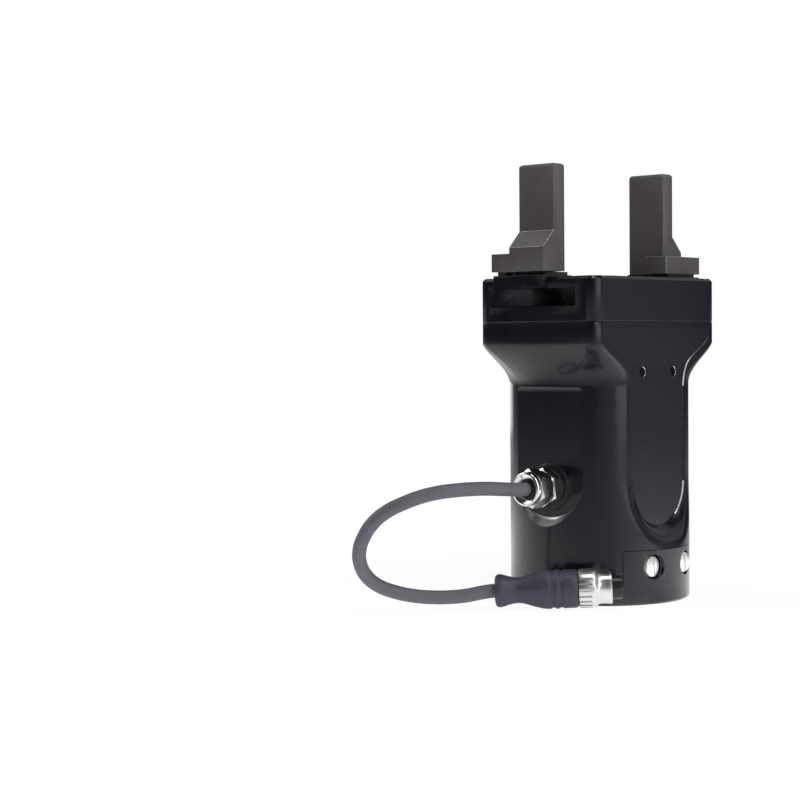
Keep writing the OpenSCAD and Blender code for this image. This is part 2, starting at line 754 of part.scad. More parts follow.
module side_hole_places() {
    for (x = [-1, 1]) translate([x * side_hole_spacing / 2, -head_w / 2, flare_z + side_hole_h])
        rotate([-90, 0, 0]) children();
}

module housing() {
    color(black_metal) difference() {
        union() {
            difference() {
                housing_outside();
                housing_inside();
            }
            side_hole_places() translate([0, 0, wall - 0.5]) cylinder(r = boss_r, h = boss_l + 0.5);
        }
        cable_pocket();
        tab_sector(barrel_r + 2, barrel_r - tab_t - 2, tab_angle + 1, tab_h + 1 + fit_gap, flange_h - 1);
        translate([-pocket_x - over, 0, gland_z]) rotate([0, 90, 0])
            cylinder(d = gland_thread_d + 2 * run_gap, h = wall + 2 * over);
        side_hole_places() translate([0, 0, -over]) cylinder(d = side_hole_d, h = side_hole_depth + over);
        for (x = [-1, 1], y = [-1, 1]) {
            translate([x * cover_bolt_x, y * cover_bolt_y, split_z - cover_screw_sink])
                cylinder(d = body_screw_d + 2 * press_gap, h = cover_screw_sink + over);
            translate([x * plate_bolt_x, y * plate_bolt_y, plate_z - plate_screw_sink])
                cylinder(d = body_screw_d + 2 * press_gap, h = plate_screw_sink + over);
        }
        turned(bottom_bolt_angles) translate([bottom_bolt_r, 0, bottom_top_z - over])
            cylinder(d = body_screw_d + 2 * press_gap, h = bottom_screw_sink + over);
    }
}

// ---------- head ----------

module cover_outside() {
    hull() {
        translate([0, 0, split_z]) linear_extrude(cover_h - cover_chamfer, $fn = 32)
            rounded_outline(head_l, head_w, corner_r);
        translate([0, 0, split_z]) linear_extrude(cover_h, $fn = 32)
            rounded_outline(head_l - 2 * cover_chamfer, head_w - 2 * cover_chamfer, corner_r - cover_chamfer);
    }
}

// Opening in the cover for the left jaw: a wide foot, and a throat that is open at the top
module jaw_lane() {
    translate([-head_l, 0, slot_floor_z]) cube([head_l + lane_end_x, slot_low_w / 2, slot_low_h]);
    translate([-head_l, -channel_half_w, slot_floor_z])
        cube([1.5 * head_l - roof_l, channel_half_w + slot_top_w / 2, cover_h]);
}

module head_cover() {
    color(black_metal) difference() {
        cover_outside();
        translate([0, 0, split_z - 1]) difference() {
            rounded_slab(cavity_l, cavity_w, corner_r - wall, slot_floor_h + 1.7);
            corner_posts(0, slot_floor_h + 1.7);
        }
        translate([-head_l, -slot_far_y, slot_floor_z]) cube([2 * head_l, 2 * slot_far_y, slot_low_h]);
        jaw_lane();
        right_side() jaw_lane();
        for (x = [-1, 1], y = [-1, 1]) translate([x * cover_bolt_x, y * cover_bolt_y, 0]) {
            translate([0, 0, split_z - over])
                cylinder(d = body_screw_d + 2 * press_gap, h = cover_h + 2 * over);
            translate([0, 0, top_z - screw_head_sink])
                cylinder(d = 2 * body_screw_d, h = screw_head_sink + over);
        }
    }
}

module cover_screws() {
    color(dark_plastic) for (x = [-1, 1], y = [-1, 1])
        translate([x * cover_bolt_x, y * cover_bolt_y, top_z - screw_head_sink])
            body_screw(cover_h - screw_head_sink + cover_screw_sink - 0.6);
}

module guide_plate() {
    color(steel) difference() {
        translate([0, 0, plate_z])
            rounded_slab(cavity_l - 2 * fit_gap, cavity_w - 2 * fit_gap, corner_r - wall, plate_t);
        translate([0, 0, plate_z - 1]) corner_posts(fit_gap, plate_t + 2);
        translate([0, 0, plate_z - 1]) cylinder(d = bearing_d - 2.5, h = plate_t);
        translate([0, 0, plate_bearing_z]) cylinder(d = bearing_d + 2 * press_gap, h = plate_t);
        for (x = [-1, 1], y = [-1, 1]) {
            translate([x * plate_bolt_x, y * plate_bolt_y, plate_z - over])
                cylinder(d = body_screw_d + 2 * press_gap, h = plate_t + 2 * over);
            translate([x * plate_bolt_x, y * plate_bolt_y, plate_top_z - screw_head_sink])
                cylinder(d = 2 * body_screw_d, h = screw_head_sink + over);
        }
        rail_bolt_places() translate([0, 0, plate_top_z - rail_screw_sink])
            cylinder(d = slide_screw_d + 2 * press_gap, h = rail_screw_sink + over);
        turned([45:90:315]) translate([case_bolt_r, 0, plate_z - over])
            cylinder(d = body_screw_d + 2 * press_gap, h = case_screw_sink + over);
    }
}

module plate_screws() {
    color(dark_plastic) for (x = [-1, 1], y = [-1, 1])
        translate([x * plate_bolt_x, y * plate_bolt_y, plate_top_z - screw_head_sink])
            body_screw(plate_t - screw_head_sink + plate_screw_sink - 0.6);
}

module rail_bolt_places() {
    for (x = [7 - rail_l / 2, 0, rail_l / 2 - 7], y = [-rail_y, rail_y]) translate([x, y, 0]) children();
}

// Half of a rail's outline, with the running groove along its side
function rail_side() = let(half_w = rail_w / 2, inner_w = half_w - 0.6)
    [[half_w, 0], [half_w, 0.35 * rail_h], [inner_w, 0.5 * rail_h], [inner_w, 0.65 * rail_h],
        [half_w, 0.8 * rail_h], [half_w, rail_h]];

module rails() {
    right_half = rail_side();
    left_half = [for (i = [len(right_half) - 1:-1:0]) [-right_half[i].x, right_half[i].y]];
    color(steel) difference() {
        for (y = [-rail_y, rail_y]) translate([-rail_l / 2, y, plate_top_z]) rotate([90, 0, 90])
            linear_extrude(rail_l) polygon(concat(right_half, left_half));
        rail_bolt_places() translate([0, 0, plate_top_z + rail_h]) flush_hole(slide_screw_d, rail_h + over);
    }
}

module rail_screws() {
    color(dark_plastic) rail_bolt_places() translate([0, 0, plate_top_z + rail_h])
        flush_screw(slide_screw_d, rail_h + rail_screw_sink - 0.5);
}

// ---------- slides ----------

// Each left piece is drawn; the right one is the same piece turned half round the axis
module right_side() {
    rotate([0, 0, 180]) children();
}

module slide() {
    color(black_metal) difference() {
        union() {
            translate([-bar_end_x, bar_inner_y, bar_z]) {
                cube([bar_l, bar_far_y - bar_inner_y, bar_low_h]);
                cube([jaw_l, bar_edge_y - bar_inner_y, bar_low_h]);
            }
            translate([-bar_end_x, channel_half_w, bar_shoulder_z - over])
                cube([bar_top_l, bar_far_y - channel_half_w, bar_top_h + over]);
            jaw_block();
        }
        for (x = finger_screw_x) translate([-x, finger_screw_y, bar_shoulder_z])
            cylinder(d = finger_screw_d + 2 * press_gap, h = 20);
        slide_bolt_places() {
            translate([0, 0, bar_z - over]) cylinder(d = slide_screw_d + 2 * press_gap, h = top_z);
            translate([0, 0, slide_seat_z]) cylinder(d = slide_head_d + 0.3, h = top_z);
        }
    }
}

module slide_bolt_places() {
    for (x = rack_bolt_x) translate([x, rack_bolt_y, 0]) children();
    for (x = block_bolt_x) translate([x, block_bolt_y, 0]) children();
}

module jaw_block() {
    translate([-bar_end_x, 0, 0]) {
        translate([0, -jaw_reach_y, slot_lip_z])
            cube([jaw_l, bar_top_edge_y + jaw_reach_y, jaw_top_z - slot_lip_z]);
        translate([0, channel_half_w, bar_shoulder_z - 1])
            cube([jaw_l, bar_top_edge_y - channel_half_w, jaw_top_z - bar_shoulder_z + 1]);
        translate([seat_inset, 2 - jaw_reach_y, jaw_top_z - 1])
            cube([jaw_l - seat_inset, seat_edge_y + jaw_reach_y - 2, seat_h + 1]);
        translate([0, seat_strip_y, jaw_top_z - 1]) cube([jaw_l, seat_edge_y - seat_strip_y, seat_h + 1]);
    }
}

module slide_left() {
    slide();
}

module slide_right() {
    right_side() slide();
}

// A rack with its teeth towards the pinion
module rack() {
    tooth = rack_pitch / 4 - tooth_play;
    slope = tan(pressure_angle) * rack_module;
    tip_y = pitch_r - rack_module;
    centres = [for (k = [0:rack_teeth - 1]) (rack_first + k + 0.5) * rack_pitch];
    first_x = centres[0] - rack_pitch / 2;
    last_x = centres[rack_teeth - 1] + rack_pitch / 2;
    color(steel) difference() {
        translate([0, 0, rack_z]) linear_extrude(bar_z - rack_z) polygon(concat(
            [[first_x, rack_root_y]],
            [for (x = centres) each [[x - tooth - 1.25 * slope, rack_root_y], [x - tooth + slope, tip_y],
                [x + tooth - slope, tip_y], [x + tooth + 1.25 * slope, rack_root_y]]],
            [[last_x, rack_root_y], [last_x, rack_root_y + rack_back], [first_x, rack_root_y + rack_back]]));
        slide_bolt_places() translate([0, 0, bar_z - slide_bolt_sink - 1])
            cylinder(d = slide_screw_d + 2 * press_gap, h = slide_bolt_sink + 1 + over);
    }
}

module rack_left() {
    rack();
}

module rack_right() {
    right_side() rack();
}

// Two blocks that ride on one rail, each with a groove for it
module guide_blocks() {
    groove_w = rail_w + 2 * run_gap;
    color(steel) difference() {
        for (x = block_x) translate([x, rail_y - block_w / 2, block_z])
            cube([block_l, block_w, bar_z - block_z]);
        translate([-rail_l, rail_y - groove_w / 2, block_z - over])
            cube([2 * rail_l, groove_w, plate_top_z + rail_h + slide_gap - block_z + over]);
        slide_bolt_places() translate([0, 0, bar_z - slide_bolt_sink])
            cylinder(d = slide_screw_d + 2 * press_gap, h = slide_bolt_sink + over);
    }
}

module guide_blocks_left() {
    guide_blocks();
}

module guide_blocks_right() {
    right_side() guide_blocks();
}

module slide_screws() {
    length = slide_seat_z - bar_z + slide_bolt_sink - 0.5;
    color(steel) slide_bolt_places() translate([0, 0, slide_seat_z])
        cap_screw(slide_screw_d, slide_head_d, slide_screw_d - 0.1, length);
}

module slide_screws_left() {
    slide_screws();
}

module slide_screws_right() {
    right_side() slide_screws();
}

// ---------- fingers ----------

// Corner of a rounded tip, as points on a quarter circle
function tip_corner(x, z, from) = [for (a = [from:15:from + 90]) [x, z] + polar(tip_r, a)];

module finger() {
    outer_x = grip_x + finger_block_t;
    chamfer = finger_block_t - finger_t;
    tip_z = finger_z + finger_h;
    color(finger_grey) difference() {
        union() {
            intersection() {
                translate([0, finger_y, 0]) rotate([90, 0, 0]) linear_extrude(finger_w) polygon(concat(
                    [[-outer_x, finger_z], [-grip_x, finger_z]],
                    tip_corner(-grip_x - tip_r, tip_z - tip_r, 0),
                    tip_corner(-grip_x - finger_t + tip_r, tip_z - tip_r, 90),
                    [[-grip_x - finger_t, finger_z + finger_block_h + chamfer],
                        [-outer_x, finger_z + finger_block_h]]));
                translate([-2 * grip_x, 0, 0]) rotate([90, 0, 90]) linear_extrude(2 * grip_x) polygon(concat(
                    [[-finger_y, finger_z], [finger_y, finger_z]],
                    tip_corner(finger_y - tip_r, tip_z - tip_r, 0),
                    tip_corner(tip_r - finger_y, tip_z - tip_r, 90)));
            }
            translate([-outer_x, finger_y - 1, finger_z]) cube([foot_l, foot_w + 1, foot_h]);
        }
        for (x = finger_screw_x) translate([-x, finger_screw_y, finger_z]) {
            translate([0, 0, -over]) cylinder(d = finger_screw_d + 0.4, h = foot_h + 2 * over);
            translate([0, 0, foot_h - finger_screw_sink]) cylinder(d = finger_head_d + 0.4, h = foot_h);
        }
    }
}

module finger_left() {
    finger();
}

module finger_right() {
    right_side() finger();
}

module finger_screws() {
    seat_z = finger_z + foot_h - finger_screw_sink;
    color(dark_plastic) for (x = finger_screw_x) translate([-x, finger_screw_y, seat_z])
        cap_screw(finger_screw_d, finger_head_d, finger_screw_sink - 0.4, seat_z - bar_shoulder_z - 1.7);
}

module finger_screws_left() {
    finger_screws();
}

module finger_screws_right() {
    right_side() finger_screws();
}

// ---------- gearhead ----------

module gearhead_case() {
    color(steel) difference() {
        union() {
            translate([0, 0, case_z]) cylinder(d = case_d, h = case_h);
            translate([0, 0, plate_z - case_flange_t]) cylinder(d = case_flange_d, h = case_flange_t);
        }
        translate([0, 0, case_z - over]) cylinder(d = case_bore_d, h = case_h - case_neck + over);
        translate([0, 0, case_z]) cylinder(d = bearing_d + 2 * press_gap, h = case_h - 0.5);
        translate([0, 0, case_z]) cylinder(d = bearing_d - 2.5, h = case_h + 1);
        turned([45:90:315]) translate([case_bolt_r, 0, plate_z]) {
            translate([0, 0, -case_flange_t - over])
                cylinder(d = body_screw_d + 2 * press_gap, h = case_flange_t + 2 * over);
            translate([0, 0, 1 - case_flange_t - case_h]) cylinder(d = 1.9 * body_screw_d, h = case_h);
        }
        turned([0:90:270]) translate([flange_bolt_r, 0, case_z - over])
            cylinder(d = motor_screw_d + 2 * press_gap, h = flange_screw_sink + 2 * over);
    }
}

module case_screws() {
    color(dark_plastic) turned([45:90:315]) translate([case_bolt_r, 0, plate_z - case_flange_t + 1])
        mirror([0, 0, 1]) body_screw(case_flange_t - 1 + case_screw_sink - 0.5);
}

module ring_gear() {
    color(bronze) difference() {
        translate([0, 0, case_z]) cylinder(d = case_bore_d - 2 * press_gap, h = ring_top_z - case_z);
        translate([0, 0, case_z - over]) rotate([0, 0, 180 / ring_teeth])
            linear_extrude(ring_top_z - case_z + 2 * over)
            polygon(gear_outline(ring_teeth, planet_module, 1.25, 0.9, -tooth_play));
    }
}

module bearing_outer(z, outer_d, inner_d, w) {
    middle_r = (outer_d + inner_d) / 4;
    ball_r = (outer_d - inner_d) / 4 - bearing_ring - run_gap;
    translate([0, 0, z]) ring(outer_d / 2, outer_d / 2 - bearing_ring, w);
    turned([0:360 / bearing_balls:359]) translate([middle_r, 0, z + w / 2]) sphere(ball_r);
}

module bearing_inner(z, inner_d, w) {
    translate([0, 0, z]) ring(inner_d / 2 + bearing_ring, inner_d / 2 + press_gap, w);
}

module shaft_bearings() {
    color(steel) {
        bearing_outer(case_bearing_z, bearing_d, shaft_d, bearing_w);
        bearing_outer(plate_bearing_z, bearing_d, shaft_d, bearing_w);
    }
}

module bearing_hubs() {
    color(steel) {
        bearing_inner(case_bearing_z, shaft_d, bearing_w);
        bearing_inner(plate_bearing_z, shaft_d, bearing_w);
    }
}

module planet_places() {
    turned([for (i = [0:planet_count - 1]) 360 * i / planet_count]) translate([carrier_arm, 0, 0]) children();
}

module planet_carrier() {
    color(steel) difference() {
        union() {
            translate([0, 0, carrier_z]) cylinder(d = carrier_d, h = carrier_t);
            translate([0, 0, carrier_z]) cylinder(d = shaft_d, h = rack_z - carrier_z);
            translate([0, 0, carrier_z]) cylinder(d = shaft_tip_d, h = rack_z + pinion_h + 0.8 - carrier_z);
        }
        planet_places() translate([0, 0, carrier_z - over])
            cylinder(d = planet_pin_d + 2 * press_gap, h = carrier_t + 2 * over);
        translate([0, 0, rack_z + pinion_h + 0.1]) ring(shaft_tip_d, shaft_tip_d / 2 - 0.5, 0.5);
    }
}

module planet_pins() {
    color(steel) planet_places() translate([0, 0, gear_z - slide_gap])
        cylinder(d = planet_pin_d, h = carrier_z + carrier_t - gear_z + slide_gap);
}

// The planets' tooth spaces face the sun and the ring gear's teeth
module planet_gear(i) {
    turn = 360 * i / planet_count;
    color(bronze) rotate([0, 0, turn]) translate([carrier_arm, 0, gear_z]) rotate([0, 0, 180 / planet_teeth])
        gear(planet_teeth, planet_module, gear_w, planet_pin_d + 2 * run_gap);
}

module sun_gear() {
    color(bronze) translate([0, 0, gear_z])
        gear(sun_teeth, planet_module, gear_w, motor_shaft_d + 2 * press_gap);
}

module pinion() {
    color(steel) translate([0, 0, rack_z])
        gear(pinion_teeth, rack_module, pinion_h, shaft_tip_d + 2 * press_gap);
}

module pinion_clip() {
    color(dark_plastic) translate([0, 0, rack_z + pinion_h + 0.1 + press_gap]) difference() {
        ring(shaft_tip_d / 2 + 1.3, shaft_tip_d / 2 - 0.5 + press_gap, 0.5 - 2 * press_gap);
        translate([0, -1.5, -1]) cube([shaft_tip_d, 3, 3]);
    }
}

// ---------- motor ----------

module motor_flange() {
    color(steel) difference() {
        union() {
            translate([0, 0, motor_z]) cylinder(d = case_d, h = motor_flange_t);
            translate([0, 0, motor_z - 2]) cylinder(d = motor_d - 2 * can_wall - 2 * press_gap, h = 3);
        }
        translate([0, 0, motor_z - 3]) cylinder(d = motor_shaft_d + 3, h = motor_flange_t + 4);
        translate([0, 0, motor_z - 3]) cylinder(d = motor_bearing_d + 2 * press_gap, h = motor_bearing_w + 1);
        turned([0:90:270]) translate([flange_bolt_r, 0, motor_z]) mirror([0, 0, 1])
            flush_hole(motor_screw_d, motor_flange_t + over);
    }
}

module flange_screws() {
    color(dark_plastic) turned([0:90:270]) translate([flange_bolt_r, 0, motor_z]) mirror([0, 0, 1])
        flush_screw(motor_screw_d, motor_flange_t + flange_screw_sink);
}

module motor_can() {
    color(dark_plastic) translate([0, 0, can_z]) difference() {
        cylinder(d = motor_d, h = motor_l);
        translate([0, 0, can_end_t]) cylinder(d = motor_d - 2 * can_wall, h = motor_l);
        translate([0, 0, 0.5]) cylinder(d = motor_bearing_d + 2 * press_gap, h = motor_l);
        translate([0, 0, -1]) cylinder(d = motor_shaft_d + 3, h = motor_l);
        turned(encoder_bolt_angles) translate([encoder_bolt_r, 0, -over])
            cylinder(d = motor_screw_d + 2 * press_gap, h = encoder_screw_sink + over + 0.5);
    }
}

module stator_core() {
    tooth_w = 2.4;
    color(steel) translate([0, 0, stack_z]) {
        ring(stator_r, stator_r - 2, stack_l);
        intersection() {
            ring(stator_r - 1, stator_in_r, stack_l);
            turned([0:360 / stator_teeth:359]) translate([0, -tooth_w / 2, 0])
                cube([stator_r, tooth_w, stack_l]);
        }
    }
}

module windings() {
    coil_w = 5;
    coil_in = stator_in_r + 0.6;
    coil_l = stator_r - 2.2 - coil_in;
    color(copper) turned([0:360 / stator_teeth:359]) translate([coil_in, 0, stack_z - 1.3]) difference() {
        translate([0, -coil_w / 2, 0]) cube([coil_l, coil_w, stack_l + 2.6]);
        translate([-1, -1.25, 1.25]) cube([coil_l + 2, 2.5, stack_l + 0.1]);
    }
}

module motor_bearings() {
    color(steel) {
        bearing_outer(can_z + 0.5, motor_bearing_d, motor_shaft_d, motor_bearing_w);
        bearing_outer(motor_z - 2, motor_bearing_d, motor_shaft_d, motor_bearing_w);
    }
}

module motor_bearing_hubs() {
    color(steel) {
        bearing_inner(can_z + 0.5, motor_shaft_d, motor_bearing_w);
        bearing_inner(motor_z - 2, motor_shaft_d, motor_bearing_w);
    }
}

module motor_shaft() {
    color(steel) {
        translate([0, 0, shaft_low_z]) cylinder(d = motor_shaft_d, h = gear_z + gear_w - shaft_low_z);
        translate([0, 0, stack_z]) cylinder(d = rotor_d - 5, h = stack_l);
    }
}

module rotor_magnets() {
    color(dark_plastic) translate([0, 0, stack_z]) ring(rotor_d / 2, rotor_d / 2 - 2.5 + press_gap, stack_l);
}

module encoder_magnet() {
    color(steel) translate([0, 0, shaft_low_z - magnet_h]) cylinder(d = 6, h = magnet_h);
}

module encoder_board() {
    color(board_green) difference() {
        union() {
            translate([0, 0, encoder_z]) cylinder(d = encoder_d, h = board_t);
            translate([-2.5, -2, encoder_z + board_t - 0.1]) cube([5, 4, 0.9]);
        }
        turned(encoder_bolt_angles) translate([encoder_bolt_r, 0, encoder_z - over])
            cylinder(d = motor_screw_d + 2 * press_gap, h = board_t + 2 * over);
    }
}

module encoder_posts() {
    color(steel) turned(encoder_bolt_angles) translate([encoder_bolt_r, 0, 0]) {
        translate([0, 0, encoder_z + board_t]) cylinder(d = 2 * motor_screw_d, h = encoder_drop);
        translate([0, 0, encoder_z])
            cylinder(d = motor_screw_d, h = encoder_drop + board_t + encoder_screw_sink);
    }
}

module drive_board() {
    color(board_green) difference() {
        union() {
            translate([0, 0, board_z]) cylinder(d = board_d, h = board_t);
            translate([0, 0, board_z + board_t - 0.1]) {
                translate([-6, -6, 0]) cube([12, 12, 1.1]);
                for (x = [-19, 15.5]) translate([x, -4, 0]) cube([3.5, 8, 1.8]);
                for (x = [-9, 0, 9]) translate([x, board_d / 2 - 7.5, 0]) cylinder(d = 6.3, h = capacitor_h);
                translate([-10, 3 - board_d / 2, 0]) cube([20, 6, capacitor_h]);
            }
        }
        turned([45:90:315]) translate([board_bolt_r, 0, board_z - over])
            cylinder(d = slide_screw_d + 2 * press_gap, h = board_t + 2 * over);
    }
}

module board_posts() {
    color(steel) turned([45:90:315]) translate([board_bolt_r, 0, 0]) {
        translate([0, 0, bottom_top_z]) cylinder(d = post_d, h = post_h);
        translate([0, 0, bottom_top_z - board_bolt_sink])
            cylinder(d = slide_screw_d, h = board_bolt_sink + post_h + board_t + 2);
    }
}

// ---------- cable gland, cable and plug ----------

// Puts a piece on the gland's axis, with its z pointing out of the housing and 0 on the flat
module on_gland() {
    translate([-pocket_x, 0, gland_z]) rotate([0, -90, 0]) children();
}

module gland_seal() {
    color(dark_plastic) on_gland() ring(gland_flats / 2 + 0.4, gland_thread_d / 2 + run_gap, gland_seal_t);
}

module gland_body() {
    color(nickel) on_gland() difference() {
        union() {
            translate([0, 0, -gland_inside])
                cylinder(d = gland_thread_d, h = gland_inside + gland_seal_t + over);
            translate([0, 0, gland_seal_t]) {
                intersection() {
                    cylinder(d = gland_corner_d, h = gland_hex_t, $fn = 6);
                    cylinder(d1 = gland_corner_d, d2 = gland_corner_d - 0.6, h = gland_hex_t);
                }
                cylinder(d = gland_flats - 1.2, h = gland_hex_t + gland_collar_t);
                cylinder(d = gland_neck_d, h = gland_hex_t + gland_collar_t + gland_neck_l);
            }
        }
        translate([0, 0, -gland_inside - over])
            cylinder(d = gland_bore, h = gland_inside + dome_start + dome_l);
    }
}

module gland_dome() {
    color(nickel) on_gland() translate([0, 0, dome_start]) difference() {
        union() {
            intersection() {
                cylinder(d = gland_corner_d, h = dome_hex_l, $fn = 6);
                cylinder(d1 = gland_corner_d + 1, d2 = gland_corner_d - 0.8, h = dome_hex_l);
            }
            rotate_extrude() polygon(concat([[0, 0], [dome_mouth_r + dome_round.x, 0]],
                [for (a = [0:15:75])
                    [dome_mouth_r + dome_round.x * cos(a), dome_hex_l + dome_round.y * sin(a)]],
                [[dome_mouth_r, dome_l], [0, dome_l]]));
        }
        translate([0, 0, -over]) cylinder(d = gland_neck_d + 2 * press_gap, h = gland_neck_l + 0.2 + over);
        translate([0, 0, -over]) cylinder(d = gland_bore, h = dome_l + 2 * over);
    }
}

module gland_nut() {
    color(nickel) on_gland() translate([0, 0, -wall - gland_nut_t]) difference() {
        cylinder(d = gland_corner_d, h = gland_nut_t, $fn = 6);
        translate([0, 0, -1]) cylinder(d = gland_thread_d + 2 * press_gap, h = gland_nut_t + 2);
    }
}

// Rings of a round tube along a route, each square to the way between its neighbours
function heading(points, i) =
    let(way = points[min(i + 1, len(points) - 1)] - points[max(i - 1, 0)]) way / norm(way);

function tube_ring(points, i, r) =
    let(along = heading(points, i),
        side = cross(cord_side, along),
        across = side / norm(side),
        up = cross(along, across))
    [for (a = spread(cord_sides, 0, 360)) points[i] + r * (cos(a) * across + sin(a) * up)];

module cord() {
    color(rubber_grey) loft([for (i = [len(cord_points) - 1:-1:0]) tube_ring(cord_points, i, cord_d / 2)]);
}

// Puts a piece on the plug's axis, with its z running from the cable to the contacts
module on_plug() {
    translate(plug_start) rotate([0, 0, plug_heading]) rotate([0, 90 - plug_tilt, 0]) children();
}

// The grip flares at the cable, narrows to a waist and carries two finger grooves
module plug_grip() {
    r = plug_d / 2;
    groove_r = r - 0.9;
    color(rubber_grey) on_plug() rotate_extrude() polygon([[0, 0], [0.78 * r, 0], [0.85 * r, 1],
        [0.83 * r, 3], [0.7 * r, 6], [0.66 * r, 9], [0.72 * r, 12], [0.86 * r, 15.5], [0.97 * r, 19],
        [r, 21], [r, 22.4], [groove_r, 22.8], [groove_r, 23.8], [r, 24.2], [r, 25.6], [groove_r, 26],
        [groove_r, 27], [0.98 * r, 27.4], [0.98 * r, plug_grip_l - 1.2], [0.9 * r, plug_grip_l],
        [0, plug_grip_l]]);
}

module plug_ring() {
    grips = 17;
    grip_depth = 0.8;
    grip_corners = [[0, 0], [0.56, 0], [0.62, 1], [0.94, 1]];
    knurl_l = plug_ring_l * 0.52;
    collar_l = 1.5;
    color(nickel) on_plug() translate([0, 0, plug_grip_l + plug_gap]) difference() {
        union() {
            linear_extrude(knurl_l) polygon([for (i = [0:grips - 1], corner = grip_corners)
                polar(plug_ring_d / 2 - grip_depth * corner[1], 360 * (i + corner[0]) / grips)]);
            cylinder(d = plug_ring_d - 2 * grip_depth, h = knurl_l + collar_l);
            cylinder(d = plug_sleeve_d, h = plug_ring_l);
        }
        translate([0, 0, -over]) cylinder(d = plug_insert_d + 2 * press_gap, h = plug_ring_l + 2 * over);
    }
}

module plug_insert() {
    insert_l = plug_gap + plug_ring_l + plug_insert_out;
    color(dark_plastic) on_plug() translate([0, 0, plug_grip_l]) difference() {
        cylinder(d = plug_insert_d, h = insert_l);
        translate([0, 0, insert_l - plug_well_h])
            cylinder(d = plug_insert_d - 2 * plug_insert_wall, h = plug_well_h + over);
        translate([0, -plug_key_w / 2, insert_l - plug_insert_out])
            cube([plug_insert_d, plug_key_w, plug_insert_out + over]);
    }
}

module plug_pins() {
    pin_circle_r = plug_insert_d / 2 - 2.2;
    color(bronze) on_plug()
        translate([0, 0, plug_grip_l + plug_gap + plug_ring_l + plug_insert_out - plug_well_h])
        turned([0:360 / pin_count:359]) translate([pin_circle_r, 0, 0])
        cylinder(d = pin_d, h = plug_well_h - 0.5);
}

base_flange();
clamp_screws();
bottom_plate();
bottom_screws();
housing();
head_cover();
cover_screws();
guide_plate();
plate_screws();
rails();
rail_screws();
gearhead_case();
case_screws();
ring_gear();
shaft_bearings();
bearing_hubs();
planet_carrier();
planet_pins();
planet_gear(0);  // planet_gear_1
planet_gear(1);  // planet_gear_2
planet_gear(2);  // planet_gear_3
sun_gear();
pinion();
pinion_clip();
motor_flange();
flange_screws();
motor_can();
stator_core();
windings();
motor_bearings();
motor_bearing_hubs();
motor_shaft();
rotor_magnets();
encoder_magnet();
encoder_board();
encoder_posts();
drive_board();
board_posts();
gland_seal();
gland_body();
gland_dome();
gland_nut();
cord();
plug_grip();
plug_ring();
plug_insert();
plug_pins();
slide_left();
slide_right();
rack_left();
rack_right();
guide_blocks_left();
guide_blocks_right();
slide_screws_left();
slide_screws_right();
finger_left();
finger_right();
finger_screws_left();
finger_screws_right();
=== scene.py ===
import json
from math import asin, cos, degrees, hypot, pi, radians, sin, sqrt

import bmesh
import bpy
from mathutils import Matrix, Vector


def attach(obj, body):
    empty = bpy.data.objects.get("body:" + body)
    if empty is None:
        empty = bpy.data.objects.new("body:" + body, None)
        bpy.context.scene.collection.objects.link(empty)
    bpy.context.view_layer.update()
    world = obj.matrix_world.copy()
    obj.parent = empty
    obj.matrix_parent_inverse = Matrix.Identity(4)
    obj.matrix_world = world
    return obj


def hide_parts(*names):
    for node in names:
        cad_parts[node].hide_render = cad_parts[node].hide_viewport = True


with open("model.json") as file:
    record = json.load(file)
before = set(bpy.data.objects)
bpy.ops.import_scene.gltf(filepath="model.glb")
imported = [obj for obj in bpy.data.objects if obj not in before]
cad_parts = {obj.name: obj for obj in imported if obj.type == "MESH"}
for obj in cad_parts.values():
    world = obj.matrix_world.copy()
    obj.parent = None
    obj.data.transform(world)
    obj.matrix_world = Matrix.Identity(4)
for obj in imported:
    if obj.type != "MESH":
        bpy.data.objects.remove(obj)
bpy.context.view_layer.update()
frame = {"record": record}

# ---------- sizes, in millimetres unless a name says otherwise ----------

MM = 0.001

# Base flange, with the raised clamp tab and its two screws
FLANGE_H = 8.0
SPIGOT_H = 2.5
BOLT_CIRCLE_R = 25.0
TAB_ANGLE = 77.0
TAB_T = 6.2
TAB_TOP_Z = FLANGE_H + 14
CLAMP_X = 11.0
CLAMP_Z = FLANGE_H + 7.2
CLAMP_SEAT_Y = 32.65

# Barrel, flare and head
BARREL_R = 37.5
WALL = 3.0
HEAD_L = 84.8
HEAD_W = 61.4
CORNER_R = 4.9
FLARE_Z = 88.5
HEAD_Z = 106.3
SPLIT_Z = 114.8
TOP_Z = 133.1
SEAM = 0.3

# Hollow of the housing, with its ledge and the corner posts of the head
BOTTOM_TOP_Z = 20.55
LEDGE_TOP_Z = BOTTOM_TOP_Z + 7.5
LEDGE_R = 28.5
PLATE_Z = 105.0
CAVITY_L = 78.0
CAVITY_W = HEAD_W - 2 * WALL
POST_L = 7.5
POST_W = 4.8

# Side flats: an arched foot, a sunk panel that fades out in the head, and two tapped holes in the front one
FLAT_Y = HEAD_W / 2
FLAT_HALF_W = 17.5
FLAT_EDGE = 2.6
ARCH_Z = 48.5
FOOT_RUN = 5.4
FOOT_EDGE = 2.6
FOOT_EDGE_RUN = 14.0
PANEL_SINK = 0.5
PANEL_INSET = 0.2
PANEL_FADE = (97.0, 112.0)
# How far the panel's side stands out past its straight part, at each height
PANEL_FLARE = [(0, ARCH_Z), (0, 84), (0.1, 88), (0.6, 91.5), (1.7, 95), (4.2, 98.8), (10.3, 102.8), (16, 106.2),
               (18.6, 109), (19.2, 112)]
SIDE_HOLE_X = 10.7
SIDE_HOLE_Z = FLARE_Z + 5.7
TAP_R = 2.1
TAP_PITCH = 0.8
TAP_DEPTH = 5.4
# Where the panel's walls get the painted highlight finish: these heights of the flare, and the arch this far out from
# its middle
HIGHLIGHT_FLARE = (88, 108)
HIGHLIGHT_ARCH_X = 11.5

